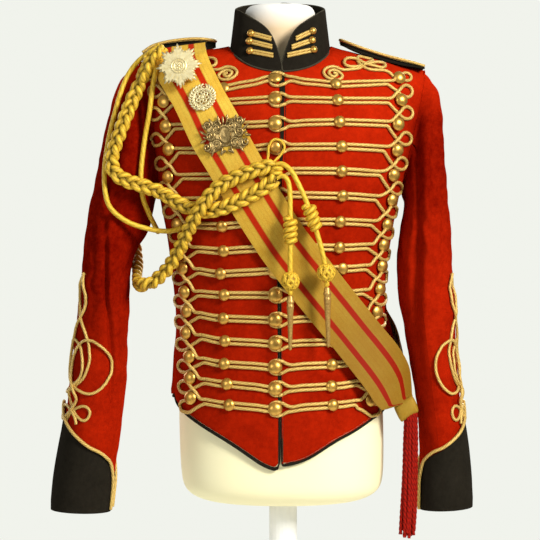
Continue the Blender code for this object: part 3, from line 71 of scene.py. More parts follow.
for place, size, power, colour in lights:
    bpy.ops.object.light_add(type="AREA", location=place)
    lamp = bpy.context.object
    lamp.data.size, lamp.data.energy, lamp.data.color = size, power, colour
    lamp.rotation_euler = (Vector(stand["aim"]) - lamp.location).to_track_quat("-Z", "Y").to_euler()

# small tools


def put(tree, kind, inputs=(), **settings):   # a shader node with its values and links
    made = tree.nodes.new("ShaderNode" + kind)
    for key, value in settings.items():
        setattr(made, key, value)
    for key, value in dict(inputs).items():
        if isinstance(value, bpy.types.NodeSocket):
            tree.links.new(value, made.inputs[key])
        else:
            made.inputs[key].default_value = value
    return made


def sums(tree, operation, first, second=0.5, third=0.5):
    return put(tree, "Math", {0: first, 1: second, 2: third}, operation=operation).outputs[0]


def times(tree, first, second, plus=None):    # the product, with a third value added to it
    if plus is None:
        return sums(tree, "MULTIPLY", first, second)
    return sums(tree, "MULTIPLY_ADD", first, second, plus)


def waves(tree, value, rate):
    return sums(tree, "SINE", times(tree, value, rate))


def rampOf(tree, value, low, high, start=0.0, end=1.0):
    return put(tree, "MapRange", {0: value, 1: low, 2: high, 3: start, 4: end}).outputs[0]


def noiseOf(tree, where, scale, detail=2.0, rough=0.5):
    return put(tree, "TexNoise", {"Vector": where, "Scale": scale, "Detail": detail,
                                  "Roughness": rough}).outputs[0]


def blendOf(tree, share, first, second):
    ends = [(*end, 1.0) if isinstance(end, tuple) else end for end in (first, second)]
    return put(tree, "Mix", {0: share, 6: ends[0], 7: ends[1]}, data_type="RGBA").outputs[2]


def finishOf(name, values):           # a new material, its nodes, its shader and its coordinates
    made = bpy.data.materials.new(name)
    made.use_nodes = True
    tree = made.node_tree
    shader = tree.nodes["Principled BSDF"]
    for key, value in values.items():
        shader.inputs[key].default_value = value
    return made, tree, shader, put(tree, "TexCoord").outputs


def finished(tree, shader, colour, bump=None, rough=None):   # bump: height, its distance and strength
    links = {"Base Color": colour, "Roughness": rough}
    if bump:
        links["Normal"] = put(tree, "Bump", dict(zip(("Height", "Distance", "Strength"), bump))).outputs[0]
    for key, value in links.items():
        if value is not None:
            tree.links.new(value, shader.inputs[key])


def only(*things):
    bpy.ops.object.select_all(action="DESELECT")
    for thing in things:
        thing.select_set(True)
    bpy.context.view_layer.objects.active = things[0]


def useModifier(thing, kind, **settings):
    only(thing)
    bpy.ops.object.modifier_add(type=kind)
    added = thing.modifiers[-1]
    for key, value in settings.items():
        setattr(added, key, value)
    bpy.ops.object.modifier_apply(modifier=added.name)


def subdivide(thing, levels=2, **settings):
    useModifier(thing, "SUBSURF", levels=levels, render_levels=levels, **settings)


def smooth(thing, angle=40):
    only(thing)
    bpy.ops.object.shade_smooth_by_angle(angle=math.radians(angle))


def dress(thing, material, slot, *nodes):
    thing.data.materials.clear()
    thing.data.materials.append(material)
    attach(thing, "root")
    if nodes:
        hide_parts(*nodes)
    return thing


def meshFrom(name, bm):
    mesh = bpy.data.meshes.new(name)
    bm.to_mesh(mesh)
    bm.free()
    thing = bpy.data.objects.new(name, mesh)
    bpy.context.scene.collection.objects.link(thing)
    return thing


def joined(name, things):
    only(*things)
    if len(things) > 1:
        bpy.ops.object.join()
    things[0].name = things[0].data.name = name
    return things[0]


def mix(a, b, share):
    return a + (b - a) * share


def ease(share):
    share = min(max(share, 0.0), 1.0)
    return share * share * (3 - 2 * share)


def between(rows, at, column=1):      # straight steps through a table's rows
    if at <= rows[0][0]:
        return rows[0][column]
    for low, high in zip(rows, rows[1:]):
        if at <= high[0]:
            return mix(low[column], high[column], (at - low[0]) / (high[0] - low[0]))
    return rows[-1][column]


def spline(a, b, c, d, u):            # from b to c on a smooth curve through all four
    return 0.5 * (2 * b + (c - a) * u + (2 * a - 5 * b + 4 * c - d) * u ** 2
                  + (3 * b - a - 3 * c + d) * u ** 3)


def runThrough(route, step):          # a smooth curve through the route, at even steps
    points = [Vector(p) for p in route]
    points = [2 * points[0] - points[1]] + points + [2 * points[-1] - points[-2]]
    fours = zip(points, points[1:], points[2:], points[3:])
    fine = [spline(*four, k / 16) for four in fours for k in range(16)]
    fine.append(points[-2])
    reach = [0.0]
    for a, b in zip(fine, fine[1:]):
        reach.append(reach[-1] + (b - a).length)
    count = max(round(reach[-1] / step), 2)
    even, low = [], 0
    for k in range(count + 1):
        at = reach[-1] * k / count
        while low < len(fine) - 2 and reach[low + 1] < at:
            low += 1
        share = (at - reach[low]) / max(reach[low + 1] - reach[low], 1e-9)
        even.append(fine[low].lerp(fine[low + 1], share))
    return even


def averaged(values, rounds=2):       # neighbours averaged, ends kept
    for _ in range(rounds):
        middle = [(a + b * 2 + c) / 4 for a, b, c in zip(values, values[1:], values[2:])]
        values = [values[0]] + middle + [values[-1]]
    return values


def inMm(spots):
    return [Vector(spot) * mm for spot in spots]


def arm(reach, angle, up=0.0):        # a point at the end of an arm turned about the origin
    return Vector((reach * math.cos(angle), reach * math.sin(angle), up))


def layTube(bm, points, radius, around=8, swell=None, wind=None, core=None):
    # wind: strands, pitch in mm and depth of the grooves; core: line that the strand is plaited about, whose
    # nearness sets painted shade where strands go under
    deep = bm.verts.layers.float.get("deep") or bm.verts.layers.float.new("deep")
    uv = bm.loops.layers.uv.verify()
    last = len(points) - 1
    across, run, rings = None, 0.0, []
    for k, point in enumerate(points):
        ahead = (points[min(k + 1, last)] - points[max(k - 1, 0)]).normalized()
        across = (across or ahead.orthogonal())
        across = (across - ahead * across.dot(ahead)).normalized()
        up = ahead.cross(across)
        wide = radius * (swell(k / last) if swell else 1.0)
        run += (point - points[k - 1]).length / mm if k else 0.0
        ring = []
        for j in range(around):
            angle = 2 * math.pi * j / around
            groove = 1.0
            if wind:
                groove -= wind[2] * (1 - abs(math.sin(math.pi * (j / around * wind[0] + run / wind[1]))))
            vert = bm.verts.new(point + (across * math.cos(angle) + up * math.sin(angle)) * wide * groove)
            # painted shade: strand points near the core, where strands pass under, are marked to be drawn
            # dark
            if core:
                vert[deep] = 1 - ease(((vert.co - core[k]).length / mm - 3.6) / 4.6)
            ring.append(vert)
        rings.append((run, ring))
    for (low, first), (high, second) in zip(rings, rings[1:]):
        for j in range(around):
            k = (j + 1) % around
            face = bm.faces.new((first[j], first[k], second[k], second[j]))
            face.smooth = True
            spots = ((low, j), (low, j + 1), (high, j + 1), (high, j))
            for loop, (along, turn) in zip(face.loops, spots):
                loop[uv].uv = (along, turn / around)
    bm.faces.new(list(reversed(rings[0][1])))
    bm.faces.new(rings[-1][1])


def tubesAlong(name, routes, radius, around=8, **shape):   # one mesh of tubes
    bm = bmesh.new()
    for points in routes:
        layTube(bm, points, radius, around, **shape)
    return meshFrom(name, bm)


# finishes

blackSheen = {"sheen": (0.5, 0.46, 0.4, 1.0), "sheenWeight": 0.03}
woolLooks = {
    "scarlet": {"deep": (0.12, 0.0018, 0.0003), "face": (0.50, 0.0185, 0.0024),
                "sheen": (0.9, 0.05, 0.01, 1.0), "sheenWeight": 0.02},
    "black": {"deep": (0.0065, 0.0055, 0.004), "face": (0.024, 0.020, 0.014), **blackSheen},
    "piping": {"deep": (0.028, 0.024, 0.016), "face": (0.075, 0.066, 0.046), **blackSheen},
}
woolLooks["edging"] = woolLooks["black"]
shadeAndLightMap = {"arm": (0.165, 0.19), "elbow": (0.50, 0.62), "slant": -0.35, "shoulder": (0.76, 0.82, 1.0, 0.0),
          "darker": -0.32, "chest": (0.62, 0.84, 0.0, 0.32)}   # where the scarlet is darker and lighter: painted shade on the upper sleeves, painted light high on the chest


def woolFinish(name):                 # felted wool: cloudy colour, fine nap and a faint twill
    look = woolLooks[name]
    made, tree, shader, coords = finishOf(name + " wool", {
        "Roughness": 0.9, "Sheen Weight": look["sheenWeight"], "Sheen Roughness": 0.45,
        "Sheen Tint": look["sheen"], "Specular IOR Level": 0.0})
    where = coords["Object"]
    grains = ((26.0, 4.0, 0.6), (1300.0, 3.0, 0.7), (150.0, 3.0, 0.65))
    cloud, nap, wear = (noiseOf(tree, where, *grain) for grain in grains)
    twill = put(tree, "TexWave", {"Vector": where, "Scale": 420.0, "Distortion": 1.6, "Detail": 1.0,
                                  "Detail Scale": 1.5}, bands_direction="DIAGONAL").outputs[1]
    tone = times(tree, wear, 0.6, times(tree, nap, 0.9, times(tree, cloud, 0.6, -0.55)))
    if name == "scarlet":             # painted shade on the sleeves above the elbow, and painted light high on the chest
        x, _, z = put(tree, "SeparateXYZ", {0: where}).outputs
        sleeve = rampOf(tree, sums(tree, "ABSOLUTE", x), *shadeAndLightMap["arm"])
        above = times(tree, rampOf(tree, times(tree, x, shadeAndLightMap["slant"], z), *shadeAndLightMap["elbow"]),
                      rampOf(tree, z, *shadeAndLightMap["shoulder"]))
        # painted shade mask: the sleeves above the elbow
        upper = times(tree, sleeve, above)
        # painted light: lighter towards the top of the chest, except on the shaded sleeves
        chest = times(tree, rampOf(tree, z, *shadeAndLightMap["chest"]), sums(tree, "SUBTRACT", 1.0, upper))
        tone = sums(tree, "ADD", times(tree, upper, shadeAndLightMap["darker"], tone), chest)
    tint = blendOf(tree, tone, look["deep"], look["face"])
    if name == "edging":              # the cloth shows beside the narrow black edge
        inset = sums(tree, "GREATER_THAN", put(tree, "Attribute", attribute_name="cloth").outputs["Fac"], 0.5)
        cloth = woolLooks["scarlet"]
        tint = blendOf(tree, inset, tint, blendOf(tree, tone, cloth["deep"], cloth["face"]))
    finished(tree, shader, tint, (times(tree, twill, 0.35, nap), 0.00022, 0.7))
    return made


cordLooks = {                         # colours of the groove (painted shade between the strands) and the crown, strands, pitch in mm
    "frog": {"groove": (0.20, 0.09, 0.012), "crown": (0.82, 0.56, 0.15), "strands": 4, "pitch": 8.0,
             "metallic": 0.3, "roughness": 0.5, "depth": 0.0003, "gloss": 0.4},
    "bright": {"groove": (0.19, 0.088, 0.004), "crown": (0.98, 0.63, 0.045), "strands": 3, "pitch": 12.0,
               "metallic": 0.2, "roughness": 0.5, "depth": 0.0006, "gloss": 0.4},
    "loose": {"groove": (0.46, 0.265, 0.014), "crown": (0.84, 0.555, 0.040), "strands": 3, "pitch": 12.0,
              "metallic": 0.2, "roughness": 0.5, "depth": 0.00025, "gloss": 0.4},
    "red": {"groove": (0.035, 0.001, 0.0005), "crown": (0.36, 0.009, 0.003), "strands": 2, "pitch": 8.0,
            "metallic": 0.0, "roughness": 0.85, "depth": 0.0005, "gloss": 0.1},
}


def cordFinish(name):                 # strands wound round the cord, thread by thread, with painted shade in the grooves between them
    look = cordLooks[name]
    made, tree, shader, coords = finishOf(name + " cord", {
        "Metallic": look["metallic"], "Roughness": look["roughness"], "Specular IOR Level": look["gloss"]})
    along, turn, _ = put(tree, "SeparateXYZ", {0: coords["UV"]}).outputs
    rope, thread = (
        waves(tree, sums(tree, "FRACT", times(tree, turn, count, times(tree, along, slant))), math.pi)
        for count, slant in ((float(look["strands"]), 1 / look["pitch"]), (14.0, -1.15)))
    tone = times(tree, thread, 0.26, times(tree, sums(tree, "POWER", rope, 0.55), 0.62))
    tone = sums(tree, "ADD", tone, times(tree, noiseOf(tree, coords["Object"], 520.0), 0.8, -0.34))
    deep = put(tree, "Attribute", attribute_name="deep").outputs["Fac"]   # painted shade where strands go under, near the plait's core
    # the strand pattern is the cord's own; the dark groove colour is painted shade
    tint = blendOf(tree, tone, look["groove"], look["crown"])
    tint = blendOf(tree, times(tree, deep, 0.85), tint, tuple(c * 0.22 for c in look["groove"]))
    finished(tree, shader, tint, (times(tree, thread, 0.25, rope), look["depth"], 0.8))
    return made


metalLooks = {                        # bright and tarnished colour, roughness, scale of the patches, metallic
    "button brass": ((0.95, 0.57, 0.125), (0.42, 0.215, 0.035), 0.35, 180.0, 0.85),
    "badge gilt": ((0.98, 0.90, 0.58), (0.72, 0.58, 0.26), 0.42, 260.0, 0.55),
    "tag gilt": ((0.80, 0.52, 0.15), (0.30, 0.15, 0.03), 0.42, 420.0, 0.6),
    "old gilt": ((0.64, 0.46, 0.18), (0.14, 0.08, 0.02), 0.34, 320.0, 0.85),
}


def metalFinish(name):
    colour, tarnish, roughness, grain, metallic = metalLooks[name]
    made, tree, shader, coords = finishOf(name, {"Metallic": metallic})
    patch = noiseOf(tree, coords["Object"], grain, 4.0)
    finished(tree, shader, blendOf(tree, times(tree, patch, 1.3, -0.25), tarnish, colour),
             (patch, 0.0001, 0.35), times(tree, patch, 0.16, roughness - 0.08))
    return made


# painted shade: the belt's gold and its red stripes grow darker towards the hip
laceLook = {"thin": (0.70, 0.33, 0.018), "full": (1.0, 0.73, 0.105), "line": (0.30, 0.16, 0.02),
            "hipShade": (0.16, 0.066, 0.003), "border": (0.30, 0.15, 0.02), "plain": (0.16, 0.085, 0.008),
            "red": (0.42, 0.012, 0.001), "brightRed": (0.74, 0.036, 0.002), "shadedHipRed": (0.20, 0.006, 0.0),
            "weft": 1 / 1.9, "warp": 30, "lines": 11, "stripes": (0.27, 0.72),
            "stripeEdge": (0.050, 0.060, 1.0, 0.0), "hip": (150.0, 560.0, 0.0, 0.85)}


def laceFinish(name, striped):        # woven metal lace: ribs along, fine weft, two red stripes
    made, tree, shader, coords = finishOf(name, {
        "Metallic": 0.1, "Roughness": 0.55, "Specular IOR Level": 0.1})
    where, look, turn = coords["Object"], laceLook, 2 * math.pi
    share, along, high = put(tree, "SeparateXYZ", {0: coords["UV"] if striped else where}).outputs
    if not striped:
        share, along = times(tree, share, 14.0), times(tree, high, 1000.0)
    weave = times(tree, waves(tree, along, turn * look["weft"]), waves(tree, share, turn * look["warp"]))
    cloud, fleck = noiseOf(tree, where, 38.0, 4.0), noiseOf(tree, where, 900.0)
    tone = times(tree, weave, 0.18, times(tree, cloud, 0.9, 0.02))
    tone = times(tree, fleck, 1.3, sums(tree, "ADD", tone, -0.62))
    gold = blendOf(tree, tone, look["thin"], look["full"])
    if striped:                       # finer lines along it, and painted shade darkening it towards the hip
        line = sums(tree, "GREATER_THAN", waves(tree, share, turn * look["lines"]), 0.78)
        hipShade = rampOf(tree, along, *look["hip"])
        gold = blendOf(tree, hipShade, blendOf(tree, times(tree, line, 0.12), gold, look["line"]), look["hipShade"])
        stripes = []
        for middle in look["stripes"]:
            away = sums(tree, "ABSOLUTE", sums(tree, "SUBTRACT", share, middle))
            stripes.append(rampOf(tree, away, *look["stripeEdge"]))
            border = sums(tree, "COMPARE", away, 0.062, 0.008)
            gold = blendOf(tree, times(tree, border, 0.45), gold, look["border"])
        # painted shade on the red stripes towards the hip
        silk = blendOf(tree, hipShade, blendOf(tree, fleck, look["red"], look["brightRed"]), look["shadedHipRed"])
        gold = blendOf(tree, sums(tree, "MAXIMUM", *stripes), gold, silk)
    else:
        gold = blendOf(tree, times(tree, cloud, 0.3, 0.60), gold, look["plain"])
    finished(tree, shader, gold, (times(tree, weave, 0.5, fleck), 0.0003, 0.6))
    return made


coverLook = {"cream": (0.92, 0.83, 0.50), "pale": (0.96, 0.91, 0.60), "neck": (0.80, 0.60, 0.36),
             "top": (0.96, 0.94, 0.88), "neckAt": (0.835, 0.87), "topAt": (0.895, 0.925)}


def coverFinish():                    # knitted cover of the form: fine ribs, warm cream
    look = coverLook
    made, tree, shader, coords = finishOf("cream cover", {"Roughness": 0.78})
    where = coords["Object"]
    knit = put(tree, "TexWave", {"Vector": where, "Scale": 340.0, "Distortion": 0.8},
               bands_direction="Z").outputs[1]
    high = put(tree, "SeparateXYZ", {0: where}).outputs[2]
    tint = blendOf(tree, noiseOf(tree, where, 7.0, 3.0), look["cream"], look["pale"])
    for part in ("neck", "top"):      # warmer at the neck, pale again at the top
        tint = blendOf(tree, rampOf(tree, high, *look[part + "At"]), tint, look[part])
    finished(tree, shader, tint, (knit, 0.00012, 0.5))
    return made


def paintFinish():
    made, tree, shader, coords = finishOf("stand paint", {"Roughness": 0.35})
    cloud = noiseOf(tree, coords["Object"], 60.0, 4.0)
    finished(tree, shader, blendOf(tree, cloud, (0.84, 0.84, 0.81), (0.90, 0.90, 0.88)), None,
             times(tree, cloud, 0.15, 0.28))
    return made


scarletWool, blackWool, pipingWool, edgingWool = map(woolFinish, woolLooks)
frogCord, brightCord, looseCord, redCord = map(cordFinish, cordLooks)
buttonBrass, badgeGilt, tagGilt, oldGilt = map(metalFinish, metalLooks)
creamCover, standPaint = coverFinish(), paintFinish()
beltLace, plainLace = laceFinish("belt lace", True), laceFinish("plain lace", False)
print("finishes made")

# floor and sky, both the same pale tone

sky = bpy.data.worlds.new("pale sky")
bpy.context.scene.world = sky
sky.use_nodes = True
skyTree = sky.node_tree
skyShader = skyTree.nodes["Background"]
skyShader.inputs["Color"].default_value = stand["pale"]
seen = put(skyTree, "LightPath").outputs["Is Camera Ray"]
skyTree.links.new(times(skyTree, seen, 1.0 - stand["fill"], stand["fill"]), skyShader.inputs["Strength"])

bpy.ops.mesh.primitive_circle_add(vertices=96, radius=stand["floor"], fill_type="NGON", location=(0, 0, 0))
floor = bpy.context.object
floor.name = "floor"
floorPaint, tree, shader, coords = finishOf("floor", {"Roughness": 0.95, "Base Color": stand["pale"]})
fromMiddle = put(tree, "VectorMath", {0: coords["Object"]}, operation="LENGTH").outputs["Value"]
fade = put(tree, "MapRange", {0: fromMiddle, 1: stand["fade"], 2: stand["floor"] * 0.98},
           interpolation_type="SMOOTHSTEP").outputs[0]
clear = put(tree, "BsdfTransparent").outputs[0]
shown = put(tree, "MixShader", {0: fade, 1: shader.outputs[0], 2: clear}).outputs[0]
tree.links.new(shown, tree.nodes["Material Output"].inputs["Surface"])
floor.data.materials.append(floorPaint)

# cloth: the outer face of each cut piece, made fine, creased and given its thickness

clothCut = {"wall": 1.8 * mm, "levels": 2, "roll": 0.9 * mm, "rollReach": 4.0 * mm, "wander": 1.5 * mm,
            "centreDraw": 2.0 * mm, "calm": 20 * mm, "merge": 0.02 * mm, "wallReach": 4.5 * mm,
            "neckReach": 14 * mm, "armholeReach": 5 * mm, "foldStep": 12 * mm,
            "sleeveLevels": 3, "sleeveWander": 2.0 * mm, "cuffLine": 0.35}
sleeveAxis = {                        # height, x and y of the middle of each sleeve
    1: ((0.20, 0.235, -0.024), (0.30, 0.231, -0.022), (0.38, 0.222, -0.018), (0.45, 0.214, -0.014),
        (0.53, 0.206, -0.008), (0.60, 0.201, -0.004), (0.68, 0.201, 0.0), (0.76, 0.202, 0.0),
        (0.80, 0.200, 0.0)),
    -1: ((0.20, -0.292, -0.024), (0.30, -0.279, -0.022), (0.38, -0.268, -0.018), (0.45, -0.262, -0.014),
         (0.53, -0.256, -0.008), (0.60, -0.245, -0.004), (0.68, -0.229, 0.0), (0.76, -0.214, 0.0),
         (0.81, -0.204, 0.0)),
}


def sleeveMiddle(side, z):
    rows = sleeveAxis[side]
    return Vector((between(rows, z, 1), between(rows, z, 2), min(z, rows[-1][0])))


def insideSleeve(side):
    return lambda point: sleeveMiddle(side, point.z)


def bodyMiddle(point):
    return Vector((-0.004, 0.0, min(point.z, 0.80)))


def below(point):
    return point - Vector((0, 0, 0.1))


def cadMesh(node):                    # a copy of a CAD mesh with its points merged
    bm = bmesh.new()
    bm.from_mesh(cadNodes[node].data)
    bmesh.ops.remove_doubles(bm, verts=bm.verts, dist=clothCut["merge"])
    bm.normal_update()
    return bm


def intoQuads(bm, flatness, shape=1.2):
    bmesh.ops.join_triangles(bm, faces=bm.faces, angle_face_threshold=flatness, angle_shape_threshold=shape)


def outerSheet(node, inside, levels=clothCut["levels"], ending="_cloth"):
    bm = cadMesh(node)                # a shell's inner wall and its rims are dropped
    tree = BVHTree.FromBMesh(bm)
    dropped = []
    for face in bm.faces:
        middle = face.calc_center_median()
        start = middle - face.normal * 0.3 * mm
        spot, facing, _, _ = tree.ray_cast(start, -face.normal, clothCut["wallReach"])
        isWall = spot is not None and facing.dot(face.normal) < -0.6
        if not isWall or face.normal.dot(middle - inside(middle)) < 0:
            dropped.append(face)
    bmesh.ops.delete(bm, geom=dropped, context="FACES")
    if levels:
        intoQuads(bm, 0.9)
    thing = meshFrom(node + ending, bm)
    if levels:
        subdivide(thing, levels, boundary_smooth="PRESERVE_CORNERS")
    return thing


def edgeShift(point, side):           # draws the cloth and its binding closer to the centre line
    away = (point.x - centreX) * side
    return side * clothCut["centreDraw"] * ease((away - 0.001) / 0.0045) * ease((0.03 - away) / 0.02)


def creaseHeight(point, folds):       # how far the folds move a point in or out
    total = 0.0
    for route, wide, deep in folds:
        nearest, along = 9.0, 0.0
        for k, (a, b) in enumerate(zip(route, route[1:])):
            run = b - a
            share = min(max((point - a).dot(run) / run.length_squared, 0.0), 1.0)
            away = (point - a - run * share).length
            if away < nearest:
                nearest, along = away, (k + share) / (len(route) - 1)
        if nearest < wide * 2.6:
            fade = math.sin(math.pi * min(max(along, 0.04), 0.96)) ** 0.7
            total += deep * math.exp(-(nearest / wide) ** 2) * fade
    return total


def rimEdges(mesh):                   # the edges that one face alone has
    uses = {}
    for polygon in mesh.polygons:
        for key in polygon.edge_keys:
            uses[key] = uses.get(key, 0) + 1
    return [key for key, used in uses.items() if used == 1]


def rimIndexes(mesh):
    return sorted({v for key in rimEdges(mesh) for v in key})


def sewnTo(sheet, tree, reach, away=0.0):   # the rim drawn onto the piece it is sewn to
    for v in rimIndexes(sheet.data):
        vert = sheet.data.vertices[v]
        near, _, _, gap = tree.find_nearest(vert.co)
        if gap < reach and abs(vert.co.x - centreX) > away:
            vert.co = near.lerp(vert.co, 0.15)
    sheet.data.update()


def placeTree(places):                # finds the nearest of the places
    tree = KDTree(len(places))
    for k, place in enumerate(places):
        tree.insert(place, k)
    tree.balance()
    return tree


def creased(thing, folds, wander=clothCut["wander"], calmBelow=None):
    mesh = thing.data
    rim = placeTree([mesh.vertices[v].co for v in rimIndexes(mesh)])
    moved = []
    for v in mesh.vertices:
        away = rim.find(v.co)[2]
        ripple = noise.noise(Vector((v.co.x * 16, v.co.y * 16, v.co.z * 52)))
        swell = noise.noise(v.co * 17) + 0.6 * ripple + 0.35 * noise.noise(v.co * 60)
        lift = ease(away / clothCut["calm"]) * (creaseHeight(v.co, folds) + wander * swell)
        if calmBelow:                 # nothing stands out where a cuff lies over it
            lift = min(lift, mix(0.1 * mm, max(lift, 0.0), ease((v.co.z - calmBelow) / 0.02)))
        lift -= clothCut["roll"] * math.exp(-(away / clothCut["rollReach"]) ** 2)
        moved.append(v.co + v.normal * lift)
    for v, place in zip(mesh.vertices, moved):
        v.co = place
    mesh.update()


def rimOf(thing):                     # the open edge of a sheet in order, each point with its facing
    mesh, beside = thing.data, {}
    for a, b in rimEdges(mesh):
        beside.setdefault(a, []).append(b)
        beside.setdefault(b, []).append(a)
    walk = [min(beside)]
    onward = beside[walk[0]]
    while onward:
        walk.append(onward[0])
        onward = [v for v in beside[walk[-1]] if v not in walk]
    return [(mesh.vertices[v].co.copy(), mesh.vertices[v].normal.copy()) for v in walk]


def treeOf(things):
    points, corners = [], []
    for thing in things:
        start = len(points)
        points += [v.co.copy() for v in thing.data.vertices]
        corners += [[k + start for k in p.vertices] for p in thing.data.polygons]
    return BVHTree.FromPolygons(points, corners)


def cadTree(*nodes):
    return treeOf([cadNodes[node] for node in nodes])


def thicken(thing, wall):
    useModifier(thing, "SOLIDIFY", thickness=wall, offset=-1.0, use_even_offset=False, use_rim=True)
    smooth(thing, 50)


bodyNodes = ("front_right", "front_left", "back_right", "back_left")
bodyCad = cadTree("front_left", "front_right", "back_left", "back_right")
collarCad, beltCad = cadTree("collar_left", "collar_right"), cadTree("belt_front")
sleeveCad = {side: cadTree("sleeve_upper_" + word, "sleeve_under_" + word) for word, side in sides.items()}


def onFront(tree, x, z, back=False):
    way = -1 if back else 1
    return tree.ray_cast(Vector((x, -way, z)), Vector((0, way, 0)))[:2]


def onSleeve(tree, side, turn, z):    # degrees from the outer line towards the front
    middle = sleeveMiddle(side, z)
    angle = math.radians(turn)
    way = Vector((side * math.cos(angle) * 0.72, -math.sin(angle), 0)).normalized()
    return tree.ray_cast(middle + Vector((0, 0, z - middle.z)) + way * 0.2, -way)[:2]


# folds: two numbers for each place along them, then how wide and how deep (minus is a trough), in mm
bodyFolds = (                         # places by x and height, on the front
    (-81, 362, -80, 330, -79, 305, 4, -2), (69, 350, 70, 325, 71, 305, 4, -1.6),
    (-150, 690, -125, 672, -95, 664, 9, -1.8), (155, 700, 128, 688, 98, 676, 9, -1.8),
    (145, 652, 118, 646, 88, 640, 8, -1.5), (-140, 622, -105, 606, -70, 604, 8, -1.6),
    (-135, 535, -100, 529, -60, 533, 7, -1.4), (-130, 502, -90, 498, -50, 500, 7, 1.3),
    (130, 505, 95, 499, 55, 502, 7, -1.3), (-120, 438, -95, 432, -60, 435, 7, -1.2),
    (120, 440, 92, 433, 55, 434, 7, 1.1), (160, 805, 135, 797, 105, 796, 10, -1.4),
    (95, 846, 115, 825, 140, 812, 9, 1.2), (-60, 330, -50, 315, -34, 300, 9, -1.4),
    (46, 332, 36, 316, 24, 302, 9, 1.3),
)
backFolds = (
    (-6, 550, -6, 460, -7, 370, 3.5, -1.6), (-120, 700, -90, 672, -50, 664, 11, -2.2),
    (125, 705, 95, 680, 55, 668, 11, -2.2), (-110, 560, -75, 545, -30, 542, 9, -2),
    (110, 555, 70, 538, 28, 536, 9, -2), (-105, 515, -70, 505, -25, 508, 9, 1.8),
    (108, 512, 68, 502, 28, 506, 9, 1.8), (-85, 470, -95, 420, -105, 365, 12, -2.8),
    (95, 470, 112, 420, 128, 365, 13, -3), (-45, 460, -50, 410, -56, 360, 11, 2.2),
    (50, 460, 60, 410, 70, 360, 12, 2.4),
)
sleeveFolds = {                       # degrees round from the outer line and height
    1: (
        (62, 780, 70, 700, 66, 630, 10, -4.2), (38, 800, 46, 715, 50, 610, 11, 3),
        (100, 700, 84, 655, 52, 625, 9, -3.6), (118, 655, 88, 612, 46, 588, 9, -3.4),
        (112, 612, 80, 575, 30, 556, 8, 3), (95, 545, 62, 528, 22, 530, 9, -3),
        (100, 505, 60, 488, 15, 495, 8, 2.4), (105, 470, 70, 440, 30, 432, 9, -2.2),
        (80, 395, 48, 372, 20, 380, 8, 1.8), (-30, 760, -42, 680, -35, 600, 12, -3.6),
        (-80, 700, -50, 640, -18, 618, 10, 3), (-95, 590, -55, 560, -12, 566, 10, -3.2),
        (-90, 520, -50, 500, -5, 505, 9, 2.4), (-95, 450, -60, 425, -25, 430, 9, -2.4),
        (170, 600, 150, 560, 125, 545, 8, -3), (185, 540, 205, 500, 230, 490, 8, -2.6),
        (12, 745, 16, 660, 6, 585, 9, -1.8),
    ),
    -1: (
        (58, 790, 64, 715, 60, 640, 10, -3.8), (36, 795, 40, 720, 44, 640, 11, 2.8),
        (110, 690, 84, 642, 54, 622, 9, -3.8), (118, 645, 82, 600, 40, 588, 9, 3.2),
        (112, 600, 78, 560, 34, 552, 9, -3.6), (104, 560, 66, 530, 22, 536, 8, 2.6),
        (96, 520, 64, 500, 28, 506, 9, -2.8), (100, 470, 70, 446, 38, 440, 8, -2.2),
        (85, 400, 52, 378, 26, 384, 8, 1.8), (-32, 770, -44, 690, -36, 610, 12, -3.6),
        (-82, 690, -52, 636, -16, 616, 10, 3), (-96, 585, -56, 556, -12, 560, 10, -3.2),
        (-90, 516, -52, 496, -6, 500, 9, 2.4), (-95, 446, -62, 420, -28, 426, 9, -2.2),
        (172, 590, 150, 556, 126, 540, 8, -3), (186, 535, 206, 498, 232, 486, 8, -2.6),
        (8, 735, 10, 650, 4, 580, 9, -2),
    ),
}
# the long folds down the front of each sleeve
longFolds = {
    1: (
        (194, 765, 190, 720, 190.5, 647, 188.5, 580, 187, 511, 188, 455, 8, -7.5),
        (205, 740, 205, 660, 203.5, 580, 201.5, 500, 201.5, 440, 7, 3.6),
        (177, 700, 175, 640, 173, 580, 7, -2.6), (228.5, 680, 228.5, 610, 228.5, 520, 4.5, -2.4),
    ),
    -1: (
        (-253, 700, -252.5, 640, -252, 560, -251.5, 510, -246.5, 478, -243.5, 440, -242.8, 375,
         -246.5, 315, 3.4, -5.5),
        (-246, 700, -245.5, 640, -244.8, 560, -244.2, 510, -239.2, 478, -236.2, 440, -235.6, 375, 5, 2.6),
        (-270, 700, -271, 600, -273, 470, 4.5, -2.4),
    ),
}


def laidFolds(rows, place, strength=1.4):
    folds = []
    for *spots, wide, deep in rows:
        route = [place(a, b * mm) for a, b in zip(spots[::2], spots[1::2])]
        if all(route):
            folds.append((runThrough(route, clothCut["foldStep"]), wide * mm, deep * strength * mm))
    return folds


def byWidth(tree, back=False):        # places given by x and z
    return lambda x, z: onFront(tree, x * mm, z, back)[0]


def byTurn(side):                     # places given by degrees round from the outer line and height
    return lambda turn, z: onSleeve(sleeveCad[side], side, turn, z)[0]


frontFolds = laidFolds(bodyFolds, byWidth(bodyCad))
rearFolds = laidFolds(backFolds, byWidth(bodyCad, True), 2.2)


def cutFrom(sheet):
    shown = sum(p.area for p in sheet.data.polygons)
    print(sheet.name, "faces", len(sheet.data.polygons), "area", round(shown, 4))


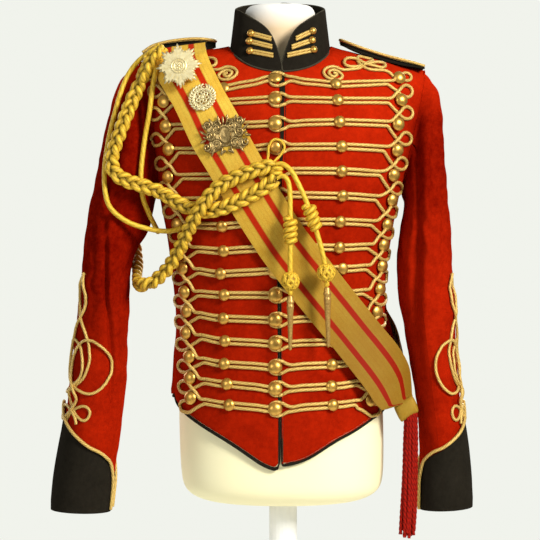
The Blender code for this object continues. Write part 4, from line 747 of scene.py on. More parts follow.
bodySheets, bodyRims, sleeveSheets = {}, [], {1: {}, -1: {}}
for node in bodyNodes:
    sheet = bodySheets[node] = outerSheet(node, bodyMiddle)
    isFront = node.startswith("front")
    creased(sheet, frontFolds if isFront else rearFolds)
    if isFront:
        for v in sheet.data.vertices:
            v.co.x -= edgeShift(v.co, sides[node[6:]])
    sewnTo(sheet, collarCad, clothCut["neckReach"], clothCut["neckReach"] if isFront else 0.0)
    bodyRims += [spot for spot, _ in rimOf(sheet)]
bodyTree = treeOf(bodySheets.values())
for word, side in sides.items():
    folds = laidFolds(sleeveFolds[side], byTurn(side))
    deepFolds = laidFolds(longFolds[side], byWidth(sleeveCad[side]))
    for node in ("sleeve_upper_" + word, "sleeve_under_" + word):
        sheet = sleeveSheets[side][node] = outerSheet(node, insideSleeve(side), clothCut["sleeveLevels"])
        creased(sheet, folds, clothCut["sleeveWander"], clothCut["cuffLine"])
        for v in sheet.data.vertices:   # these run on across the seams
            out = v.co - sleeveMiddle(side, v.co.z)
            v.co += Vector((out.x, out.y, 0)).normalized() * creaseHeight(v.co, deepFolds)
        sheet.data.update()
        sewnTo(sheet, bodyTree, clothCut["armholeReach"])
sleeveTree = {side: treeOf(sleeveSheets[side].values()) for side in (1, -1)}
scarletSheets = {**bodySheets, **sleeveSheets[1], **sleeveSheets[-1]}
for node, sheet in scarletSheets.items():
    thicken(sheet, clothCut["wall"])
    dress(sheet, scarletWool, "scarlet_cloth", node)
    kind, word = node.rsplit("_", 1)
    if kind != "front":
        cutFrom(sheet)
print("scarlet cloth made")

# shared makers for trims


def closedCopy(node, name, grow=0.0):   # a CAD solid made round and even
    bm = cadMesh(node)
    intoQuads(bm, 0.7)
    bm.normal_update()
    for v, place in [(v, v.co + v.normal * grow) for v in bm.verts]:
        v.co = place
    thing = meshFrom(name, bm)
    subdivide(thing)
    smooth(thing, 60)
    return thing


dress(closedCopy("form_torso", "dress_form"), creamCover, "form_cover", "form_torso")
print("form made")


def curveAt(points, at):              # a place on the smooth curve through the points, counted in points
    low = min(int(at), len(points) - 2)
    b, c = points[low], points[low + 1]
    a = points[low - 1] if low else 2 * b - c
    d = points[low + 2] if low + 2 < len(points) else 2 * c - b
    return spline(a, b, c, d, at - low)


def gridOf(node, inside):             # rows of points of a CAD strip whose outer face is a plain grid
    flat = outerSheet(node, inside, 0, "_flat")
    bm, quads = bmesh.new(), bmesh.new()
    bm.from_mesh(flat.data)
    quads.from_mesh(flat.data)
    bm.verts.ensure_lookup_table()
    intoQuads(quads, 3.1, 3.1)
    corners = {v.index for v in quads.verts if len(v.link_edges) == 2}
    beside = {v.index: {e.other_vert(v).index for e in v.link_edges} for v in bm.verts}
    onEdge = {v.index: [e.other_vert(v).index for e in v.link_edges if len(e.link_faces) == 1]
              for v in bm.verts}
    corner = min(corners)
    walks = []
    for at in onEdge[corner]:
        walk = [corner]
        while at not in corners:
            last = walk[-1]
            walk.append(at)
            at = next(v for v in onEdge[at] if v != last)
        walks.append(walk + [at])
    row, border = sorted(walks, key=len)
    rows = [row]
    for first in border[1:]:
        onward = [first]
        for under in row[1:]:
            common = beside[under] & beside[onward[-1]] - set(row) - set(onward)
            onward.append(min(common, key=lambda v: (bm.verts[v].co - bm.verts[under].co).length))
        rows.append(onward)
        row = onward
    grid = [[bm.verts[v].co.copy() for v in row] for row in rows]
    bm.free()
    quads.free()
    cleared([flat])
    return grid


def stripFrom(name, grid, across, step, inside):   # a fine strip through the grid, UV: share across, mm along
    rows, run = [], 0.0
    columns = [[row[j] for row in grid] for j in range(len(grid[0]))]
    middle = columns[len(columns) // 2]
    for k in range(len(grid) - 1):
        parts = max(round((middle[k + 1] - middle[k]).length / step), 1)
        for j in range(parts + (k == len(grid) - 2)):
            posts = [curveAt(column, k + j / parts) for column in columns]
            row = [curveAt(posts, (len(posts) - 1) * i / across) for i in range(across + 1)]
            run += (row[across // 2] - rows[-1][1][across // 2]).length / mm if rows else 0.0
            rows.append((run, row))
    bm = bmesh.new()
    uv = bm.loops.layers.uv.verify()
    made = [(along, [bm.verts.new(p) for p in row]) for along, row in rows]
    for (low, first), (high, second) in zip(made, made[1:]):
        for i in range(across):
            face = bm.faces.new((first[i], first[i + 1], second[i + 1], second[i]))
            for loop, (share, along) in zip(face.loops, ((i, low), (i + 1, low), (i + 1, high), (i, high))):
                loop[uv].uv = (share / across, along)
    bm.normal_update()
    bm.faces.ensure_lookup_table()
    face = bm.faces[len(bm.faces) // 2]
    if face.normal.dot(face.calc_center_median() - inside(face.calc_center_median())) < 0:
        bmesh.ops.reverse_faces(bm, faces=bm.faces)
    return meshFrom(name, bm)


def turned(name, profile, around=24):  # a turned shape from its radius and height, bottom up, in mm
    bpy.ops.mesh.primitive_circle_add(vertices=around, radius=profile[0][0] * mm, fill_type="NGON")
    thing = bpy.context.object
    bpy.ops.object.mode_set(mode="EDIT")
    bpy.ops.mesh.select_all(action="SELECT")
    bpy.ops.transform.translate(value=(0, 0, profile[0][1] * mm))
    for (wide, low), (nextWide, high) in zip(profile, profile[1:]):
        bpy.ops.mesh.extrude_region_move(TRANSFORM_OT_translate={"value": (0, 0, (high - low) * mm)})
        ratio = nextWide / wide
        bpy.ops.transform.resize(value=(ratio, ratio, 1), center_override=(0, 0, high * mm))
    bpy.ops.mesh.select_all(action="SELECT")
    bpy.ops.mesh.normals_make_consistent(inside=False)
    bpy.ops.object.mode_set(mode="OBJECT")
    thing.name = thing.data.name = name
    smooth(thing, 38)
    return thing


def ellipsoid(name, size, place, turn=0.0, tilt=0.0, segments=8, rings=5):
    bpy.ops.mesh.primitive_uv_sphere_add(segments=segments, ring_count=rings, radius=mm)
    thing = bpy.context.object
    thing.name = thing.data.name = name
    thing.data.transform(Matrix.Translation(Vector(place) * mm) @ Matrix.Rotation(turn, 4, "Z")
                         @ Matrix.Rotation(tilt, 4, "X") @ Matrix.Diagonal((*size, 1)))
    smooth(thing, 60)
    return thing


def copyOf(thing, name):
    twin = thing.copy()
    twin.data = thing.data.copy()
    twin.name = twin.data.name = name
    bpy.context.scene.collection.objects.link(twin)
    return twin


def setOn(thing, spot, facing, spin=0.0):   # stands a shape made about the origin on a surface
    upward = Vector((0, 0, 1)) - facing * facing.z
    upward = upward.normalized() if upward.length > 0.1 else Vector((0, -1, 0))
    across = upward.cross(facing)
    frameOf = Matrix((across, upward, facing)).transposed().to_4x4()
    thing.data.transform(Matrix.Translation(spot) @ frameOf @ Matrix.Rotation(math.radians(spin), 4, "Z"))
    thing.data.update()


def cleared(things):                  # takes away shapes that only served as patterns
    for thing in things:
        bpy.data.objects.remove(thing, do_unlink=True)


def laid(tree, route, lift, step, place=onFront):   # route of (across, extra lift, up), settled on the cloth
    points, last = [], (None, None)
    for p in runThrough(inMm(route), step):
        spot, facing = place(tree, p.x, p.z)
        if spot is None:
            spot, facing = last
        if spot is not None:
            last = (spot, facing)
            points.append(spot + facing * (lift + p.y))
    return averaged(points, 1)


def evenFacing(tree, x, z, reach=7 * mm):
    total = Vector()
    for dx, dz in ((0, 0), (reach, 0), (-reach, 0), (0, reach), (0, -reach)):
        total += onFront(tree, x + dx, z + dz)[1] or Vector()
    return total.normalized()


# black cloth: collar halves, cuffs, edging and shoulder straps

blackCut = {"collarWall": 2.4 * mm, "cuffWall": 1.5 * mm, "piping": 1.25 * mm, "edgeGrow": 0.3 * mm,
            "strapWall": 2.4 * mm, "strapAcross": 16, "strapDrop": {-1: 13.0 * mm, 1: 4.0 * mm},
            "strapGap": {-1: 7.5 * mm, 1: 4.4 * mm}, "strapBend": (0.56, 0.44), "strapEnd": (0.207, 0.04),
            "strapOver": 3.0 * mm, "strapBraid": 2.1 * mm, "backDrop": 5 * mm, "freeRim": 4.5 * mm}
cuffFolds = (
    (20, 330, 28, 275, 24, 225, 8, -1), (62, 300, 70, 260, 64, 225, 9, 0.9),
    (100, 285, 108, 250, 102, 222, 8, -0.9), (-40, 320, -50, 270, -44, 225, 9, -1.1),
    (-95, 290, -104, 250, -96, 222, 9, 0.9),
)
rimTree = placeTree(bodyRims)
collars, bindings = {}, []
for word, side in sides.items():
    sheet = outerSheet("collar_" + word, lambda p: Vector((centreX, 0, p.z)))
    nearBack = clothCut["neckReach"]
    atBack = [v for v in sheet.data.vertices if v.co.y > 0 and abs(v.co.x - centreX) < nearBack]
    foot = min(v.co.z for v in atBack)
    for v in atBack:                  # the halves meet at the centre back, down to the neck seam
        away = abs(v.co.x - centreX)
        v.co.z -= blackCut["backDrop"] * ease(1 - away / nearBack) * ease(1 - (v.co.z - foot) / (10 * mm))
        if away < 3 * mm:
            v.co.x = centreX
    rim = [(p, facing, bodyTree.find_nearest(p)[3] > blackCut["freeRim"]) for p, facing in rimOf(sheet)]
    first = next(k for k in range(len(rim)) if rim[k][2] and not rim[k - 1][2])
    edge = [p - facing * blackCut["collarWall"] * 0.5 if free
            else p + facing * 0.9 * mm - Vector((0, 0, 0.8 * mm))
            for p, facing, free in rim[first:] + rim[:first]]
    piping = tubesAlong("collar_piping_" + word, [averaged(runThrough(edge[::4] + edge[:1], 2.0 * mm))],
                        blackCut["piping"])
    collars[word] = sheet, dress(piping, pipingWool, "black_cloth")
collarTree = treeOf([sheet for sheet, _ in collars.values()])
for word, (sheet, piping) in collars.items():
    thicken(sheet, blackCut["collarWall"])
    dress(sheet, blackWool, "black_cloth", "collar_" + word)
    cutFrom(sheet)

for word, side in sides.items():
    sheet = outerSheet("cuff_" + word, insideSleeve(side))
    creased(sheet, laidFolds(cuffFolds, byTurn(side)), 0.4 * mm)
    thicken(sheet, blackCut["cuffWall"])
    dress(sheet, blackWool, "black_cloth", "cuff_" + word)
    cutFrom(sheet)
    binding = closedCopy("edging_" + word, "edging_" + word + "_cloth", blackCut["edgeGrow"])
    inset = binding.data.attributes.new("cloth", "FLOAT", "POINT")
    for v in binding.data.vertices:   # how near the cloth's own edge; the back's end tucked in at the side
        inset.data[v.index].value = 1 - rimTree.find(v.co)[2] / (3.0 * mm)
        tuck = 3 * mm * ease(v.co.y / 0.02) * ease((abs(v.co.x) - 0.11) / 0.02)
        v.co.x -= edgeShift(v.co, side) + side * tuck
    bindings.append(dress(binding, edgingWool, "black_cloth", "edging_" + word))
    cutFrom(bodySheets["front_" + word])

    node, across, under = "strap_" + word, blackCut["strapAcross"], (bodyCad, beltCad)
    (bendAt, bendOver), (flatAt, flatOver) = blackCut["strapBend"], blackCut["strapEnd"]
    grid = gridOf(node, below)
    strap = stripFrom(node + "_cloth", grid, across, 3.0 * mm, below)
    ends = [sum(v.co.y for v in strap.data.vertices if v.index % (across + 1) == k) for k in (0, across)]
    for v in strap.data.vertices:     # the front edge turns down over the chest
        share = (v.index % (across + 1)) / across
        bentDown = ease(((1 - share if ends[0] < ends[1] else share) - bendAt) / bendOver)
        if bentDown > 0:
            if side > 0:              # and runs out flat at the sleeve
                bentDown *= ease((flatAt - v.co.x) / flatOver)
            v.co.z -= blackCut["strapDrop"][side] * bentDown
            tops = [tree.ray_cast(Vector((v.co.x, v.co.y, 1.2)), Vector((0, 0, -1)))[0] for tree in under]
            v.co.z = max([v.co.z] + [spot.z + blackCut["strapOver"] for spot in tops if spot])
            fronts = [onFront(tree, v.co.x, v.co.z)[0] for tree in under]
            v.co.y = min([v.co.y] + [spot.y - blackCut["strapGap"][side] for spot in fronts if spot])
    strap.data.update()
    loops = []
    for share, rise in ((0.07, 2.0), (0.20, 1.7)):
        there, backAgain = ([curveAt(row, (len(row) - 1) * at) for row in grid] for at in (share, 1 - share))
        if (there[0] - backAgain[0]).length < (there[-1] - backAgain[-1]).length:
            there.reverse()
            backAgain.reverse()
        route = there[:-1] + [(there[-1] + backAgain[-1]) / 2] + backAgain[:-1][::-1]
        loops.append([p + Vector((0, 0, rise * mm)) for p in runThrough(route, 1.5 * mm)])
    braid = dress(tubesAlong("strap_braid_" + word, loops, blackCut["strapBraid"]), frogCord, "gold_cord")
    thicken(strap, blackCut["strapWall"])
    dress(strap, blackWool, "black_cloth", node)
    cutFrom(strap)
chestTree = treeOf([*bodySheets.values(), *bindings])
print("black cloth made")

# frogging: one cord a side that runs to and fro across the chest, with buttons over it

frogCut = {"cord": 2.45 * mm, "apart": 3.2, "lift": 2.3 * mm, "step": 1.4 * mm, "endShare": 0.45,
           "underBelt": 3.2 * mm, "turn": 32, "atCentre": {1: 25, -1: 12}}
# heights of the right loop, end, middle, centre, left middle, end and loop; then how far out
# the right loop, end and middle and the left middle, end and loop are, in mm
frogRows = (
    (805, 821, 805, 817, 810, 823, 805, 182, 171, 84, 73, 163, 174),
    (773, 789, 785, 788, 787, 791, 774, 182, 168, 84, 75, 165, 174),
    (737, 754, 752, 754, 757, 757, 738, 179, 164, 84, 77, 160, 172),
    (703, 722, 717, 722, 723, 721, 703, 173, 160, 84, 80, 159, 166),
    (668, 683, 682, 689, 689, 686, 668, 168, 161, 84, 80, 154, 161),
    (635, 649, 649, 656, 655, 651, 635, 161, 156, 84, 81, 152, 155),
    (600, 616, 613, 619, 619, 616, 605, 152, 148, 85, 78, 145, 149),
    (570, 583, 578, 583, 583, 587, 574, 148, 141, 83, 77, 140, 145),
    (540, 554, 546, 550, 553, 557, 542, 148, 141, 87, 82, 138, 143),
    (507, 520, 516, 516, 517, 524, 510, 147, 138, 82, 72, 135, 139),
    (477, 493, 483, 481, 484, 491, 479, 146, 135, 83, 71, 132, 139),
    (445, 462, 451, 448, 450, 459, 445, 143, 136, 81, 69, 129, 137),
    (414, 428, 419, 415, 418, 427, 412, 140, 131, 82, 67, 126, 133),
    (385, 398, 391, 385, 388, 396, 381, 139, 130, 78, 66, 123, 131),
    (357, 370, 362, 357, 362, 367, 352, 138, 129, 75, 68, 122, 129),
)
buttonCut = {"centreX": -12, "centre": 9.8, "side": 8.5, "collar": 5.2, "forLoop": 2.5 * mm,
             "underBelt": 0.72, "hidden": 0.8}
# out from the centre button and up, in mm, on the side that rings it and on the side that tucks under
centreRing = ((25, 3.1), (18, 4.2), (11, 7.6), (3, 9.6), (-4.5, 7.2), (-7.6, 0), (-4.5, -7.2), (3, -9.6),
              (11, -7.6), (18, -4.2), (25, -3.1))
centreTuck = ((12, 3.2), (5, 2.6), (2, 0), (5, -2.6), (12, -3.2))
# end loop: out and up from its middle, lift where it passes over itself
endLoop = ((-9.0, -5.6, 0), (-3, -8.6, 0), (4.6, -7.2, 0), (8.4, -1, 0), (6.6, 5.4, 0), (0, 8.4, 0.5),
           (-6.9, 5.8, 2.5), (-12.4, 0, 4.2), (-16.8, -6.0, 1.5))
lastLoop = ((-26, 4.6), (-19, 1.2), (-12.5, -3.4), (-6.4, -7.2), (0, -8), (5.6, -5.6), (7.8, 0), (6, 5.7),
            (1, 8.5), (-5, 8.6), (-8, 7.4))


def beltOver(x, z, reach):            # share of a small circle that the belt hides
    around = (arm(reach, math.pi * k / 6) for k in range(12))
    return sum(onFront(beltCad, x + spot.x, z + spot.y)[0] is not None for spot in around) / 12


def frogRoute(side):
    spots, joins, apart = [], [], frogCut["apart"]
    columns = (0, 1, 2, 7, 8, 9) if side < 0 else (6, 5, 4, 12, 11, 10)
    for n, row in enumerate(frogRows):
        loopUp, endUp, midUp, loopOut, endOut, midOut = (row[k] for k in columns)
        centreOut, centreUp = buttonCut["centreX"] * side, row[3]
        pairUp = mix(midUp, endUp, frogCut["endShare"])
        level = ((centreOut, centreUp), (midOut, midUp), (endOut, pairUp), (endOut + 20, pairUp))
        inner = centreOut + frogCut["atCentre"][side]
        stops = [mix(loopOut - frogCut["turn"], midOut, 0.5), midOut, mix(midOut, inner, 0.4),
                 mix(midOut, inner, 0.75)]
        if n == 0:
            spots += [(endOut, endUp - 1, 0), (endOut - 9, endUp - 4, 0),
                      (endOut - 19, between(level, endOut - 19) + apart, 0)]
        spots += [(out, between(level, out) + apart, 0) for out in stops]
        spots += [(centreOut + out, centreUp + up, 0) for out, up in (centreRing if side > 0 else centreTuck)]
        spots += [(out, between(level, out) - apart, 0) for out in reversed(stops)]
        leave = pairUp - apart - loopUp
        if n + 1 < len(frogRows):
            nextEnd, nextMid = (frogRows[n + 1][k] for k in columns[1:3])
            arrive = mix(nextMid, nextEnd, frogCut["endShare"]) + apart - loopUp
            turn = [(-32, leave, 0), (-26.5, leave - 0.6, 0), (-21.5, mix(leave, -1.5, 0.42), 0),
                    (-13.6, -1.5, 0), *endLoop, (-22, arrive + 1.6, 0), (-27, arrive + 0.1, 0),
                    (-32, arrive, 0)]
        else:
            turn = [(-30, leave, 0)] + [(out, up, 0) for out, up in lastLoop]
        spots += [(loopOut + out, loopUp + up, over) for out, up, over in turn]
        joins.append(Vector((side * spots[-1][0], 0, spots[-1][1])) * mm)
    return inMm([(side * out, over, up) for out, up, over in spots]), joins


frogHalves = [[] for _ in frogRows]
for side in (1, -1):
    route, joins = frogRoute(side)
    even = runThrough(route, frogCut["step"])
    placed, kept = [], []
    for p in even:
        spot, facing = onFront(chestTree, p.x, p.z)
        if spot is None:
            spot, facing = bodyTree.find_nearest(Vector((p.x, placed[-1].y if placed else -0.05, p.z)))[:2]
        placed.append(spot)
        ahead = ease(-1.8 * facing.y)     # the cord lies closer where the cloth turns away
        lift = frogCut["lift"] * mix(0.4, 1.0, ahead) + p.y
        if onFront(beltCad, p.x, p.z)[0]:
            lift = min(lift, frogCut["underBelt"])
        kept.append(facing * lift)
    placed = [a + b for a, b in zip(placed, averaged(kept, 4))]
    cuts = [0]
    for join in joins:
        gaps = [(Vector((p.x, 0, p.z)) - join).length for p in even]
        cuts.append(gaps.index(min(gaps)))
    for halves, low, high in zip(frogHalves, cuts, cuts[1:]):
        halves.append(tubesAlong("frog_half", [placed[low:high + 1]], frogCut["cord"]))
for n, halves in enumerate(frogHalves, 1):
    dress(joined("frog_cord_%02d" % n, halves), frogCord, "gold_cord", "frog_row_%02d" % n)
print("frogging laid")

buttonProfile = ((0.50, 0.5), (0.70, 3.0), (0.95, 4.1), (1.0, 4.6), (1.0, 5.1), (0.965, 5.6), (0.90, 6.4),
                 (0.81, 7.2), (0.68, 8.0), (0.52, 8.7), (0.34, 9.2), (0.16, 9.45), (0.02, 9.5))
buttons = {}
for kind, tall in (("centre", 1.0), ("side", 1.0), ("collar", 0.72)):
    profile = [(share * buttonCut[kind], up * tall) for share, up in buttonProfile]
    buttons[kind] = turned("button_" + kind, profile)

for n, row in enumerate(frogRows, 1):
    spots = ((-row[8], row[1], "side"), (-row[9], row[2], "side"), (buttonCut["centreX"], row[3], "centre"),
             (row[10], row[4], "side"), (row[11], row[5], "side"))
    made = []
    for x, z, kind in spots:
        x, z = x * mm, z * mm
        hidden = beltOver(x, z, buttonCut[kind] * mm)
        if hidden > buttonCut["hidden"]:
            continue
        button = copyOf(buttons[kind], "frog_button")
        outer = ease((abs(x) - 0.10) / 0.03)      # those at the sides stand up and look forward more
        wide, tall = 1 + 0.1 * outer, buttonCut["underBelt"] if hidden > 0.05 else 1
        rise = 1.4 * mm * outer + (buttonCut["forLoop"] if n == 4 and kind == "centre" else 0)
        button.data.transform(Matrix.Diagonal((wide, wide, tall, 1)))
        facing = (evenFacing(bodyTree, x, z) + Vector((0, -0.7, 0)) * outer).normalized()
        setOn(button, onFront(bodyTree, x, z)[0] + facing * rise, facing)
        made.append(button)
    dress(joined("frog_buttons_%02d" % n, made), buttonBrass, "button_brass")
print("buttons set")


def sewnCord(node, routes, radius):   # gold cord sewn down, in place of its node
    dress(tubesAlong(node + "_cord", routes, radius), frogCord, "gold_cord", node)


# shoulder braid: a flat spiral, a side loop and an end loop; x and z in mm on the left shoulder

braidCut = {"cord": 2.3 * mm, "lift": 2.2 * mm, "step": 1.5 * mm, "middle": -4.5}
braidMain = ((69, 827), (75, 825), (69, 821), (63, 828), (72, 831), (82, 824), (79, 818), (69, 817),
             (60, 821), (56, 828), (61, 834), (71, 836), (83, 832), (96, 833), (107, 835), (114, 841),
             (121, 845), (127, 847), (125, 850), (117, 852), (108, 854), (105, 851), (106, 844), (112, 838),
             (120, 834), (131, 833), (142, 833), (150, 830), (157, 824), (166, 828), (174, 832), (181, 829),
             (181, 823), (174, 820), (166, 821), (160, 819))
braidSide = ((111, 839), (104, 836), (94, 836), (87, 838), (85, 843), (89, 848), (98, 849), (105, 847),
             (112, 843), (120, 840), (129, 838), (138, 836), (144, 838), (142, 843), (134, 844), (126, 843),
             (118, 841), (112, 839))
for word, side in sides.items():
    settled = []
    for spots, extra in ((braidMain, 0.0), (braidSide, 1.6)):
        route = [(x if side > 0 else 2 * braidCut["middle"] - x, extra, z) for x, z in spots]
        settled.append(laid(bodyTree, route, braidCut["lift"], braidCut["step"]))
    sewnCord("shoulder_braid_" + word, settled, braidCut["cord"])

# collar bars: a doubled cord from a small button to the front edge; x and z of the button and inner end

barCut = {"cord": 1.95 * mm, "apart": 1.85, "lift": 0.9 * mm, "beyond": 0.10}
collarBars = {
    "right": ((-45.2, 884.7, -19.5, 877.0), (-47.3, 873.4, -18.6, 865.5), (-46.6, 859.3, -17.2, 853.0)),
    "left": ((40.4, 888.2, 19.2, 877.6), (39.7, 874.8, 13.8, 865.2), (41.8, 861.4, 8.5, 853.4)),
}
for word, bars in collarBars.items():
    for n, (bx, bz, ex, ez) in enumerate(bars, 1):
        ex, ez = ex + (ex - bx) * barCut["beyond"], ez + (ez - bz) * barCut["beyond"]
        settled = []
        for rise in (barCut["apart"], -barCut["apart"]):
            route = [(mix(bx, ex, share), 0, mix(bz, ez, share) + rise) for share in (0.0, 0.5, 1.0)]
            settled.append(laid(collarTree, route, barCut["lift"], 1.0 * mm))
        sewnCord("collar_bar_%s_%d" % (word, n), settled, barCut["cord"])
        button = copyOf(buttons["collar"], "collar_button_%s_%d" % (word, n))
        x, z = bx * mm, bz * mm
        setOn(button, onFront(collarTree, x, z)[0], evenFacing(collarTree, x, z, 3 * mm))
        dress(button, buttonBrass, "button_brass")
cleared(buttons.values())

# sleeve knots: degrees from the knot's axis, height in mm and extra lift; the other strand mirrors this one

knotCut = {"cord": 2.1 * mm, "lift": 2.0 * mm, "over": 1.5, "perDegree": 0.96, "axis": {-1: 46, 1: 37},
           "spread": {-1: 1.0, 1: 0.78}}
knotStrand = (
    (0, 546), (-8, 530), (-12, 514), (-10, 498), (-3, 485), (12, 467), (20, 452), (27, 437), (30, 424),
    (26, 409), (18, 396), (2, 386), (-14, 380), (-38, 376), (-57, 383), (-70, 397), (-74, 413), (-66, 431),
    (-46, 445), (-21, 452), (-3, 446), (8, 434), (14, 421), (15, 406), (10, 394, 2), (-1, 384, 4),
    (-8, 377, 4), (-10, 367, 1), (-2, 356), (11, 345), (28, 338), (39, 341), (42, 350), (33, 357), (17, 357),
    (0, 350), (-12, 340), (-16, 332),
)
cuffTop = ((0.0, 0.358), (20.0, 0.341), (65.0, 0.312), (95.0, 0.297), (128.0, 0.286), (148.0, 0.270),
           (158.0, 0.248), (162.0, 0.226), (164.0, 0.205))
cuffCord = {"cord": 2.4 * mm, "lift": 5.0 * mm, "over": 4.2 * mm}
cuffTurns = (0, 8, 22, 40, 58, 78, 98, 118, 136, 148, 158, 162, 164)
for word, side in sides.items():
    settled = []
    for way in (1, -1):
        route = []
        for turn, up, *over in knotStrand:
            around = knotCut["axis"][side] + turn * way * knotCut["spread"][side]
            route.append((around * knotCut["perDegree"], sum(over) + (knotCut["over"] if way < 0 else 0), up))
        settled.append(laid(
            sleeveTree[side], route, knotCut["lift"], 1.5 * mm,
            lambda tree, x, z, side=side: onSleeve(tree, side, x / mm / knotCut["perDegree"], z)))
    sewnCord("sleeve_knot_" + word, settled, knotCut["cord"])
    route = []
    for turn in [-turn for turn in cuffTurns[:0:-1]] + [*cuffTurns]:
        spot, facing = onSleeve(sleeveCad[side], side, turn, between(cuffTop, abs(turn)) + cuffCord["over"])
        route.append(spot + facing * cuffCord["lift"])
    sewnCord("cuff_cord_" + word, [averaged(runThrough(route, 1.5 * mm), 3)], cuffCord["cord"])
print("braid, bars and sleeve knots laid")

# cross-belt of lace with two red stripes, its keeper and tassel

beltCut = {"wall": 1.8 * mm, "across": 28, "step": 4.0 * mm, "wave": 0.5 * mm, "lean": (-7.0, -2.5, 0)}
beltSheets = {}
low, high = map(Vector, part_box("belt_keeper"))
keeperMiddle = (low + high) / 2
for node in ("belt_front", "belt_back"):
    grid = gridOf(node, bodyMiddle)
    print(node, "grid", len(grid), "x", len(grid[0]))
    if grid[0][0].z < grid[-1][0].z:
        grid.reverse()
    if grid[0][0].x > grid[0][-1].x:
        grid = [row[::-1] for row in grid]
    if node == "belt_front":          # leans in at the hip and is gathered into the keeper
        for k in range(1, 7):
            lean = Vector(beltCut["lean"]) * mm * ease(1 - (k - 1) / 6)
            grid[-k] = [p + lean for p in grid[-k]]
        heel = sum(grid[-1], Vector()) / len(grid[-1])
        grip = Vector((keeperMiddle.x, keeperMiddle.y, high.z - 0.006))
        grid += [[middle + (p - heel) * width for p in grid[-1]]
                 for middle, width in ((heel.lerp(grip, 0.45), 0.74), (grip, 0.34))]
    lace = beltSheets[node] = stripFrom(node + "_lace", grid, beltCut["across"], beltCut["step"], bodyMiddle)
    for v in lace.data.vertices:
        v.co += v.normal * beltCut["wave"] * noise.noise(v.co * 14)
    lace.data.update()
beltTree = treeOf(beltSheets.values())
for node, lace in beltSheets.items():
    thicken(lace, beltCut["wall"])
    dress(lace, beltLace, "gold_lace", node)
    cutFrom(lace)
keeper = closedCopy("belt_keeper", "belt_keeper_lace", 0.2 * mm)
for v in keeper.data.vertices:
    v.co = keeperMiddle + (v.co - keeperMiddle) * 1.28 + Vector((-2.0, 0, 0)) * mm
dress(keeper, plainLace, "gold_lace", "belt_keeper")

# tassel: place across and deep, foot height and thickness in mm
tasselCut = {"middle": (180.9, -58.9), "top": 354, "strands": (2, 8.0, 0.22)}
tasselCords = ((-9.0, -2.0, 172, 3.0), (-5.4, -5.6, 168, 3.1), (-1.2, -6.6, 174, 3.2), (3.4, -6.2, 167, 3.0),
               (7.6, -3.8, 171, 3.1), (9.6, 0.8, 176, 2.9), (6.2, 4.6, 169, 3.0), (1.6, 6.2, 173, 3.0),
               (-3.4, 5.6, 168, 3.0), (-7.6, 3.0, 177, 3.0), (-3.6, -0.6, 170, 3.1), (3.0, 0.0, 175, 3.1))
bm = bmesh.new()
for n, (wide, deep, foot, thick) in enumerate(tasselCords):
    route = []
    for share in (0.0, 0.08, 0.25, 0.45, 0.65, 0.85, 1.0):
        spread = mix(0.78, 0.95, ease(share * 3))
        sway = 1.3 * math.sin(n * 2.1 + share * 5.0) * share - 5.0 * share ** 1.6
        x, y = tasselCut["middle"]
        route.append((x + wide * spread + sway, y + deep * spread, mix(tasselCut["top"], foot + 4, share)))
    layTube(bm, runThrough(inMm(route), 1.3 * mm), thick * mm * 0.92, wind=tasselCut["strands"])
dress(meshFrom("belt_tassel_cords", bm), redCord, "red_cord", "belt_tassel")
print("belt made")

# badges: a rayed star, a leaf wreath and an openwork plaque, all plain patterns

badgeCut = {                          # x and z, how it is turned, how wide its facing is taken, and a shift
    "star": (-0.1445, 0.828, 6, 10 * mm, (-0.002, -0.012, 0.009)), "starReach": 32.5,
    "wreath": (-0.1130, 0.7915, -3, 12 * mm, (0, 0, 0)), "wreathReach": 15.6,
    "plaque": (-0.0810, 0.7380, 8, 18 * mm, (0, 0, 0)), "plaqueStretch": (1.04, 1.22, 1, 1),
}


def ringOf(name, count, size, reach, up, outward=False, segments=6, rings=4):   # small domes evenly round
    angles = [2 * math.pi * k / count for k in range(count)]
    return [ellipsoid(name, size, arm(reach, angle, up), angle if outward else 0.0, 0.0, segments, rings)
            for angle in angles]


def pinned(kind, parts, finish, lean=0.0):   # joins a badge and sets it on the belt
    x, z, spin, reach, shift = badgeCut[kind]
    badge = joined("badge_" + kind + "_metal", parts)
    if kind == "plaque":
        badge.data.transform(Matrix.Diagonal(badgeCut["plaqueStretch"]))
    facing = (evenFacing(beltTree, x, z, reach) + Vector((0.0, lean, 0.0))).normalized()
    setOn(badge, onFront(beltTree, x, z)[0] + Vector(shift), facing, spin)
    dress(badge, finish, "badge_metal", "badge_" + kind)


ray = turned("star_ray", ((0.5, 0.0), (1.0, 0.82), (0.25, 1.0)), 4)
ray.data.transform(Matrix.Rotation(math.radians(90), 4, "Y") @ Matrix.Rotation(math.radians(45), 4, "Z"))
rays = []
for k in range(40):                   # eight broad points of five rays each
    reach = badgeCut["starReach"] * (1.0, 0.89, 0.75, 0.75, 0.89)[k % 5]
    twin = copyOf(ray, "star_ray")
    twin.data.transform(Matrix.Rotation(2 * math.pi * k / 40, 4, "Z")
                        @ Matrix.Translation((5 * mm, 0, (2.3 - 0.5 * (k % 2)) * mm))
                        @ Matrix.Diagonal((reach - 5, 2.7, 2.2, 1)))
    rays.append(twin)
cleared([ray])
rays.append(turned("star_plate", ((17.0, 0.8), (18.0, 1.6), (17.5, 2.2), (0.5, 2.4)), 40))
boss = turned("star_boss", (
    (11.0, 0.6), (11.6, 2.6), (11.2, 4.0), (10.4, 4.4), (9.6, 4.0), (9.2, 3.2), (8.0, 3.2), (7.6, 4.1),
    (6.9, 4.4), (6.3, 4.1), (6.0, 3.3), (1.9, 3.4), (1.8, 4.2), (1.2, 4.9), (0.3, 5.2)), 32)
petals = ringOf("star_petal", 8, (1.9, 1.05, 0.9), 3.7, 3.6, True, 10, 6)
beads = ringOf("star_bead", 20, (0.75, 0.75, 0.7), 8.6, 3.5)
